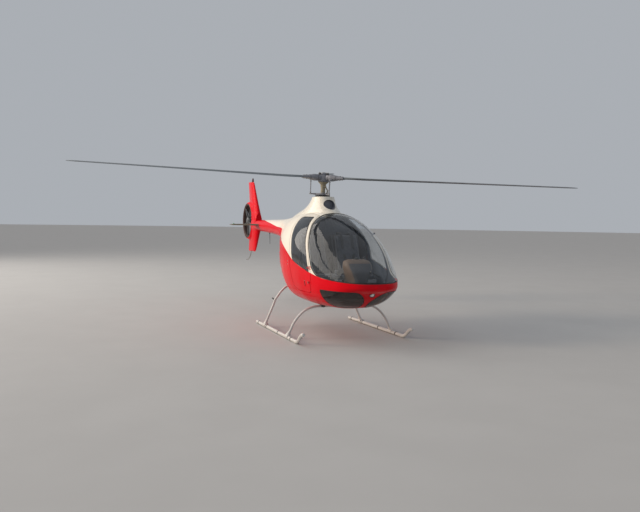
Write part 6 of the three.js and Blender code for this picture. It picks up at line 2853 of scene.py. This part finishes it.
def swell(piece: bpy.types.Object, cap: float, facing: Array) -> None:
    """Remeshes a cushion and swells it by a cloth simulation under pressure.

    Formula: 5 mm voxels; 20 frames of cloth at pressure 4 without gravity; each point's move is cut to the
    cap, and the part of it against the facing direction to about a fifth, so that the underside keeps its seat.

    Args:
        piece: The cushion.
        cap: The furthest that a point may move.
        facing: The direction that it may swell in freely.
    """
    with bpy.context.temp_override(object=piece, active_object=piece, selected_objects=[piece]):
        remesh = piece.modifiers.new("remesh", "REMESH")
        remesh.mode, remesh.voxel_size = "VOXEL", 0.005
        bpy.ops.object.modifier_apply(modifier="remesh")
    mesh = piece.data
    count = len(mesh.vertices)
    before = np.empty(count * 3)
    mesh.vertices.foreach_get("co", before)
    before = before.reshape(-1, 3)
    after = before
    cloth = piece.modifiers.new("cloth", "CLOTH")
    cloth.settings.use_pressure, cloth.settings.uniform_pressure_force = True, 4.0
    cloth.settings.effector_weights.gravity = 0.0
    cloth.settings.quality = 5
    cloth.point_cache.frame_start, cloth.point_cache.frame_end = 1, 20
    for frame_number in range(1, 21):
        bpy.context.scene.frame_set(frame_number)
    shown = piece.evaluated_get(bpy.context.evaluated_depsgraph_get()).data
    after = np.empty(count * 3)
    shown.vertices.foreach_get("co", after)
    after = after.reshape(-1, 3)
    piece.modifiers.remove(cloth)
    bpy.context.scene.frame_set(1)
    move = after - before
    far = np.linalg.norm(move, axis=1, keepdims=True)
    move *= np.minimum(1, cap / np.maximum(far, 1e-9))
    back = np.minimum((move * facing).sum(axis=1, keepdims=True), 0)
    move -= back * facing * 0.8
    mesh.vertices.foreach_set("co", (before + move).ravel())
    mesh.polygons.foreach_set("use_smooth", np.ones(len(mesh.polygons), bool))
    mesh.update()
    smooth = piece.modifiers.new("smooth", "SUBSURF")
    smooth.levels = smooth.render_levels = 1


@dataclass
class Cockpit:
    """The instruments, the controls, the floor and the rear wall."""

    console: Rows = (
        (0.5603, 0.090, -1.110, -0.940),
        (0.700, 0.092, -1.260, -0.960),
        (0.820, 0.110, -1.420, -1.000),
        (0.930, 0.165, -1.430, -1.060),
        (1.020, 0.190, -1.370, -1.110),
        (1.080, 0.175, -1.310, -1.130),
        (1.105, 0.120, -1.260, -1.160),
    )

    def build_console(self) -> None:
        """The pedestal and binnacle with a panel of plain dials and screens on its rear face. Its front face is
        painted dark as shade, and the rest tan as painted sunlight.
        """
        table = np.asarray(self.console)
        z = np.concatenate(
            [np.linspace(0.5605, 1.08, 44), 1.08 + 0.025 * np.sin(np.linspace(0, np.pi / 2, 6)[1:])]
        )
        half, front, back = steady(z, table[:, 0], table[:, 1:]).T
        ring = ellipse_ring(56, 3.4)
        x = half[:, None] * ring[None, :, 0]
        y = 0.5 * (front + back)[:, None] + 0.5 * (back - front)[:, None] * ring[None, :, 1]
        rings = np.stack([x, y, np.broadcast_to(z[:, None], x.shape)], -1)
        shape = loft(rings, Coat.COVER)
        row, column = np.divmod(np.arange(len(shape.slots[0])), 56)
        rear = (ring[column, 1] > 0.30) & (z[row] > 0.86) & (z[row] < 1.05)
        # Painted shade: the front face takes the dark panel grey.
        ahead = (ring[column, 1] < -0.45) & (
            np.abs(ring[column, 0]) < 0.86
        ) & (z[row] > 0.60) & (z[row] < 1.045)
        shape.repaint(0, rear | ahead, Coat.PANEL)
        self.fit_panel(shape)
        make_piece("binnacle", shape, Body.FUSELAGE, ["instrument_console"], 50)

    def fit_panel(self, shape: Shape) -> None:
        """The dials, two screens and the switches, set square to the leaning rear face.

        Args:
            shape: The console.
        """
        low, high = np.array([0, -1.060, 0.930]), np.array([0, -1.112, 1.022])
        up = (high - low) / np.linalg.norm(high - low)
        out = np.cross(SIDEWAYS, up)
        out *= np.sign(out[1])

        def at(x: float, v: float) -> Array:
            """A place on the rear face, across it and up it."""
            return low + up * v + np.array([x, 0, 0]) + out * 0.0012

        turn = np.column_stack([SIDEWAYS, up, out])
        if np.linalg.det(turn) < 0:
            turn[:, 0] *= -1
        slab(at(0, 0.044), (0.128, 0.062, 0.004), Coat.PANEL, shape, 0.003, turn)
        for x in (-0.036, 0.036):
            slab(at(x, 0.060) + out * 0.004, (0.031, 0.036, 0.0025), Coat.PLASTIC, shape, 0.002, turn)
            slab(at(x, 0.062) + out * 0.0062, (0.026, 0.029, 0.0010), Coat.DIAL, shape, 0.0006, turn)
        for x in (-0.098, 0.098):
            for v in (0.020, 0.072):
                spot = at(x, v) + out * 0.003
                hooped(
                    [(0.0205, 0.0), (0.0235, 0.0), (0.0235, 0.004), (0.0205, 0.006)], spot, out, Coat.PLASTIC,
                    shape, 32
                )
                turned([(0.0207, 0.0), (0.0207, 0.0022)], spot, out, Coat.DIAL, shape, 32)
                for step in range(10):
                    a = math.radians(-60 + 30 * step)
                    tick = spot + (math.cos(a) * SIDEWAYS + math.sin(a) * up) * 0.0172 + out * 0.0022
                    slab(tick, (0.0007, 0.0007, 0.0006), Coat.MARK, shape, 0.0003, turn)
                slab(
                    spot + up * 0.006 + out * 0.0026, (0.0006, 0.0085, 0.0005), Coat.MARK, shape, 0.0002, turn
                )
        for i in range(7):
            spot = at(-0.054 + 0.018 * i, 0.006) + out * 0.004
            tube(
                np.linspace(spot, spot + out * 0.010 + up * 0.004, 4),
                np.array([0.0022, 0.002, 0.002, 0.0024]), Coat.STEEL, shape, sides=10, up=SIDEWAYS
            )
        turned(rounded(0.030, 0.034, 0.008), (0, -1.225, 1.092), UP, Coat.PLASTIC, shape, 28)
        for x, y in ((-0.05, -1.20), (0.055, -1.24)):
            turned(rounded(0.006, 0.012, 0.002), (x, y, 1.098), UP, Coat.STEEL, shape, 14)

    def build_controls(self) -> None:
        """Sticks with grips, levers with twist grips, and the pedals."""
        for side in Side:
            x = side.value * 0.265
            path = smooth_path(
                [
                    (x, -0.930, 0.574), (x, -0.960, 0.700), (x, -0.985, 0.860), (x, -0.930, 0.960),
                    (x, -0.906, 1.035)
                ],
                40
            )
            shape = tube(path, 0.0105, Coat.PLASTIC, sides=16, up=SIDEWAYS)
            boot = [
                (0.027, 0.0), (0.026, 0.008), (0.021, 0.014), (0.0235, 0.020), (0.0175, 0.027),
                (0.019, 0.033), (0.0125, 0.042)
            ]
            turned(boot, (x, -0.930, 0.5605), (0, -0.12, 1), Coat.RUBBER, shape, 24)
            grip = smooth_path(
                [(x, -0.907, 1.022), (x, -0.901, 1.055), (x, -0.896, 1.085), (x, -0.889, 1.118)], 16
            )
            wide = np.interp(
                np.linspace(0, 1, 16), (0, 0.1, 0.3, 0.55, 0.8, 0.95, 1),
                (0.0125, 0.0165, 0.0150, 0.0175, 0.0185, 0.016, 0.009)
            )
            tube(grip, wide, Coat.RUBBER, shape, high=wide * 0.92, sides=20, up=SIDEWAYS)
            turned(rounded(0.0045, 0.006, 0.0015), (x, -0.8895, 1.115), (0, 0.2, 1), Coat.STEEL, shape, 12)
            make_piece(
                f"stick_{side.word}", shape, Body.FUSELAGE, [f"cyclic_{side.word}"], 45
            )
            x = side.value * 0.030
            lever = smooth_path([(x, -0.418, 0.588), (x, -0.560, 0.642), (x, -0.790, 0.7555)], 26)
            shape = tube(lever, 0.0105, Coat.PLASTIC, sides=16, up=SIDEWAYS)
            slab((x, -0.415, 0.5795), (0.0165, 0.034, 0.0185), Coat.DARK, shape, 0.004)
            grip = np.linspace((x, -0.783, 0.7525), (x, -0.898, 0.8055), 16)
            wide = np.interp(
                np.linspace(0, 1, 16), (0, 0.06, 0.5, 0.9, 1), (0.0120, 0.0165, 0.0155, 0.0155, 0.011)
            )
            tube(grip, wide, Coat.RUBBER, shape, sides=20, up=SIDEWAYS)
            make_piece(
                f"lever_{side.word}", shape, Body.FUSELAGE, [f"collective_{side.word}"], 45
            )
        y, floor = -1.172, 0.560
        shape = tube(
            np.linspace((-0.358, y, floor + 0.022), (0.358, y, floor + 0.022), 10), 0.0095, Coat.DARK,
            sides=16
        )
        for x in (-0.330, -0.200, 0.200, 0.330):
            arm = smooth_path(
                [(x, y, floor + 0.022), (x, y - 0.003, floor + 0.070), (x, y + 0.004, floor + 0.118)], 10
            )
            tube(arm, 0.0075, Coat.DARK, shape, high=0.0055, sides=12, up=SIDEWAYS)
            slab((x, y + 0.010, floor + 0.1225), (0.041, 0.0055, 0.0365), Coat.RUBBER, shape, 0.004)
            for row in range(5):
                slab(
                    (x, y + 0.0158, floor + 0.098 + 0.012 * row), (0.034, 0.0014, 0.0022), Coat.RUBBER, shape,
                    0.001
                )
        for x in (-0.265, 0.265):
            slab((x, y, floor + 0.0155), (0.0155, 0.0135, 0.015), Coat.CASTING, shape, 0.003)
        make_piece("pedal_bar", shape, Body.FUSELAGE, ["pedals"], 45)

    def build_liner(self) -> None:
        """The carpeted floor, and the padded wall behind the seats with its quilting lines."""
        y = np.linspace(-1.238, -0.063, 40)
        u = np.linspace(-1, 1, 41)
        reach = SKIN.side_point(y, np.full(40, 0.555), 1)[:, 0] - 0.027
        x = reach[:, None] * u[None]
        top = np.stack([x, np.broadcast_to(y[:, None], x.shape), np.full(x.shape, 0.5598)], -1).reshape(-1, 3)
        shape = panel(top, faced(top, halved(grid_faces(40, 41)), UP), 0.018, Coat.CARPET)
        rows, sides = 46, 61
        z = np.linspace(0.545, 1.715, rows)
        top_height = SKIN.numbers(np.array([-0.05]))[0, 1]
        half = SKIN.side_point(np.full(rows, -0.05), z, 1)[:, 0] - 0.029
        u = np.linspace(-1, 1, sides)
        x = half[:, None] * u[None]
        quilt = 0.004 * np.abs(np.sin(np.pi * u * 3)) ** 0.35 * np.abs(
            np.sin(np.pi * (z - 0.545) / 0.39)
        )[:, None] ** 0.35
        wall = np.stack([x, -0.0605 - quilt, np.broadcast_to(z[:, None], x.shape)], -1).reshape(-1, 3)
        faces = faced(wall, halved(grid_faces(rows, sides)), (0, -1, 0))
        keep = (wall[faces][:, :, 2] < top_height - 0.03).all(axis=1)
        panel(wall, faces[keep], 0.016, Coat.TRIM, shape=shape)
        make_piece("cabin_floor_and_wall", shape, Body.FUSELAGE, ["cabin_liner"], 50)

    def build(self) -> None:
        """Builds the cockpit."""
        self.build_console()
        self.build_controls()
        self.build_liner()


@dataclass
class Drive:
    """The engine and the main gearbox behind the cabin wall."""

    def build(self) -> None:
        """Builds the crankcase with its cylinders, and the gearbox with its ribs."""
        shape = slab((0, 0.300, 1.000), (0.150, 0.335, 0.165), Coat.CASTING, edge=0.030)
        slab((0, 0.300, 0.840), (0.190, 0.300, 0.038), Coat.CASTING, shape, 0.015)
        for sign in (-1, 1):
            for y in (0.13, 0.44):
                turned(
                    rounded(0.072, 0.105, 0.008), (sign * 0.145, y, 1.010), (sign, 0, 0), Coat.DARK, shape, 32
                )
                for i in range(9):
                    start = (sign * (0.150 + 0.011 * i), y, 1.010)
                    turned(rounded(0.088, 0.0035, 0.001), start, (sign, 0, 0), Coat.CASTING, shape, 32)
                slab((sign * 0.257, y, 1.010), (0.012, 0.075, 0.075), Coat.CASTING, shape, 0.010)
        turned(rounded(0.120, 0.060, 0.015), (0, -0.036, 1.00), AFT, Coat.CASTING, shape, 40)
        slab((0, 0.300, 1.197), (0.120, 0.250, 0.032), Coat.DARK, shape, 0.012)
        make_piece("engine", shape, Body.FUSELAGE, ["engine_block"], 40)
        shape = slab((0, 0.075, 1.410), (0.113, 0.113, 0.178), Coat.CASTING, edge=0.028)
        for z in (1.27, 1.35, 1.43, 1.51):
            slab((0, 0.075, z), (0.115, 0.115, 0.005), Coat.CASTING, shape, 0.004)
        top = RotorHead()
        turned(
            [(0.094, 0.0), (0.096, 0.020), (0.096, 0.100), (0.086, 0.125), (0.066, 0.1385)],
            top.set_at((0, 0, -0.700)), top.basis[2], Coat.CASTING, shape, 40
        )
        make_piece("gear_case", shape, Body.FUSELAGE, ["main_gearbox"], 40)


@dataclass
class Studio:
    """The photograph's view, a pale floor and soft light."""

    eye: Triple = (-3.6515, -9.1855, 1.6034)
    forward: Triple = (0.36537929, 0.92937938, -0.05245893)
    right: Triple = (0.93083816, -0.3651652, 0.01395345)
    up: Triple = (0.00618812, 0.05392908, 0.99852559)
    focal: float = 661.24
    size: tuple[int, int] = (640, 512)
    floor: Finish = Finish(
        "floor_grey", (0.50, 0.495, 0.49), (
            0.485, 0.48, 0.475
        ), (0.8, 0.95), patch=1.5, bump=0.02, specular=0.1
    )

    def aim(self) -> None:
        """Sets the camera to the photograph's view."""
        scene = bpy.context.scene
        data = bpy.data.cameras.new("view")
        data.sensor_fit, data.sensor_width = "HORIZONTAL", 36.0
        data.lens = self.focal / self.size[0] * data.sensor_width
        data.clip_end = 200.0
        camera = bpy.data.objects.new("view", data)
        x, y, z = np.asarray(self.right), np.asarray(self.up), -np.asarray(self.forward)
        place = np.eye(4)
        place[:3, :3] = np.column_stack([x, y, z])
        place[:3, 3] = np.asarray(self.eye) - (0, 0, BELLY)
        camera.matrix_world = Matrix(place.tolist())
        scene.collection.objects.link(camera)
        scene.camera = camera
        scene.render.resolution_x, scene.render.resolution_y = self.size

    def light(self) -> None:
        """A pale sky, a low warm sun, and a broad panel on the door side that glass mirrors."""
        scene = bpy.context.scene
        world = bpy.data.worlds.new("studio")
        world.use_nodes = True
        back = world.node_tree.nodes["Background"]
        back.inputs["Color"].default_value = (0.88, 0.93, 1.0, 1)
        back.inputs["Strength"].default_value = 0.46
        scene.world = world
        scene.view_settings.view_transform = "Standard"
        key = bpy.data.lights.new("key", "SUN")
        key.angle, key.energy, key.color = math.radians(16), 2.0, (1.0, 0.83, 0.64)
        self.place(key, (-10.0, 2.5, 3.4)).visible_glossy = False
        panel = bpy.data.lights.new("panel", "AREA")
        panel.shape, panel.size, panel.size_y = "RECTANGLE", 20.0, 15.0
        panel.energy, panel.color = 1750.0, (1.0, 0.93, 0.84)
        self.place(panel, (-11.0, 8.0, 9.6))

    def place(self, data: bpy.types.Light, spot: Row) -> bpy.types.Object:
        """Puts a lamp in its place, turned towards the aircraft.

        Args:
            data: The lamp.
            spot: Where it stands.

        Returns:
            The lamp's object.
        """
        lamp = bpy.data.objects.new(data.name, data)
        z = np.asarray(spot) - (0, 0.5, 0.8)
        z = z / np.linalg.norm(z)
        x = np.cross((0, 0, 1.0), z)
        x /= np.linalg.norm(x)
        matrix = np.eye(4)
        matrix[:3, :3] = np.column_stack([x, np.cross(z, x), z])
        matrix[:3, 3] = spot
        lamp.matrix_world = Matrix(matrix.tolist())
        bpy.context.scene.collection.objects.link(lamp)
        return lamp

    def lay_floor(self) -> None:
        """A plain pale floor just under the skids, as wide as the eye can see."""
        mesh = bpy.data.meshes.new("floor")
        turn = np.linspace(0, 2 * np.pi, 65)[:-1]
        points = np.column_stack([150 * np.cos(turn), 150 * np.sin(turn), np.full(64, -BELLY - 0.0006)])
        mesh.from_pydata(points, [], [list(range(64))])
        mesh.materials.append(self.floor.build())
        floor = bpy.data.objects.new("floor", mesh)
        bpy.context.scene.collection.objects.link(floor)


def main() -> None:
    """Builds the aircraft in its studio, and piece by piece."""
    logging.basicConfig(level=logging.INFO, format="%(message)s")
    studio = Studio()
    studio.aim()
    studio.light()
    studio.lay_floor()
    assemblies: list = [
        Cabin(), RearFuselage(), Tail(), MastFairing(), RotorHead(), DuctedFan(), LandingGear(), Cockpit(),
        Drive()
    ]
    assemblies += [Door(side) for side in Side] + [Seat(side) for side in Side]
    for assembly in assemblies:
        log.info("building %s", type(assembly).__name__)
        assembly.build()


if __name__ == "__main__":
    main()
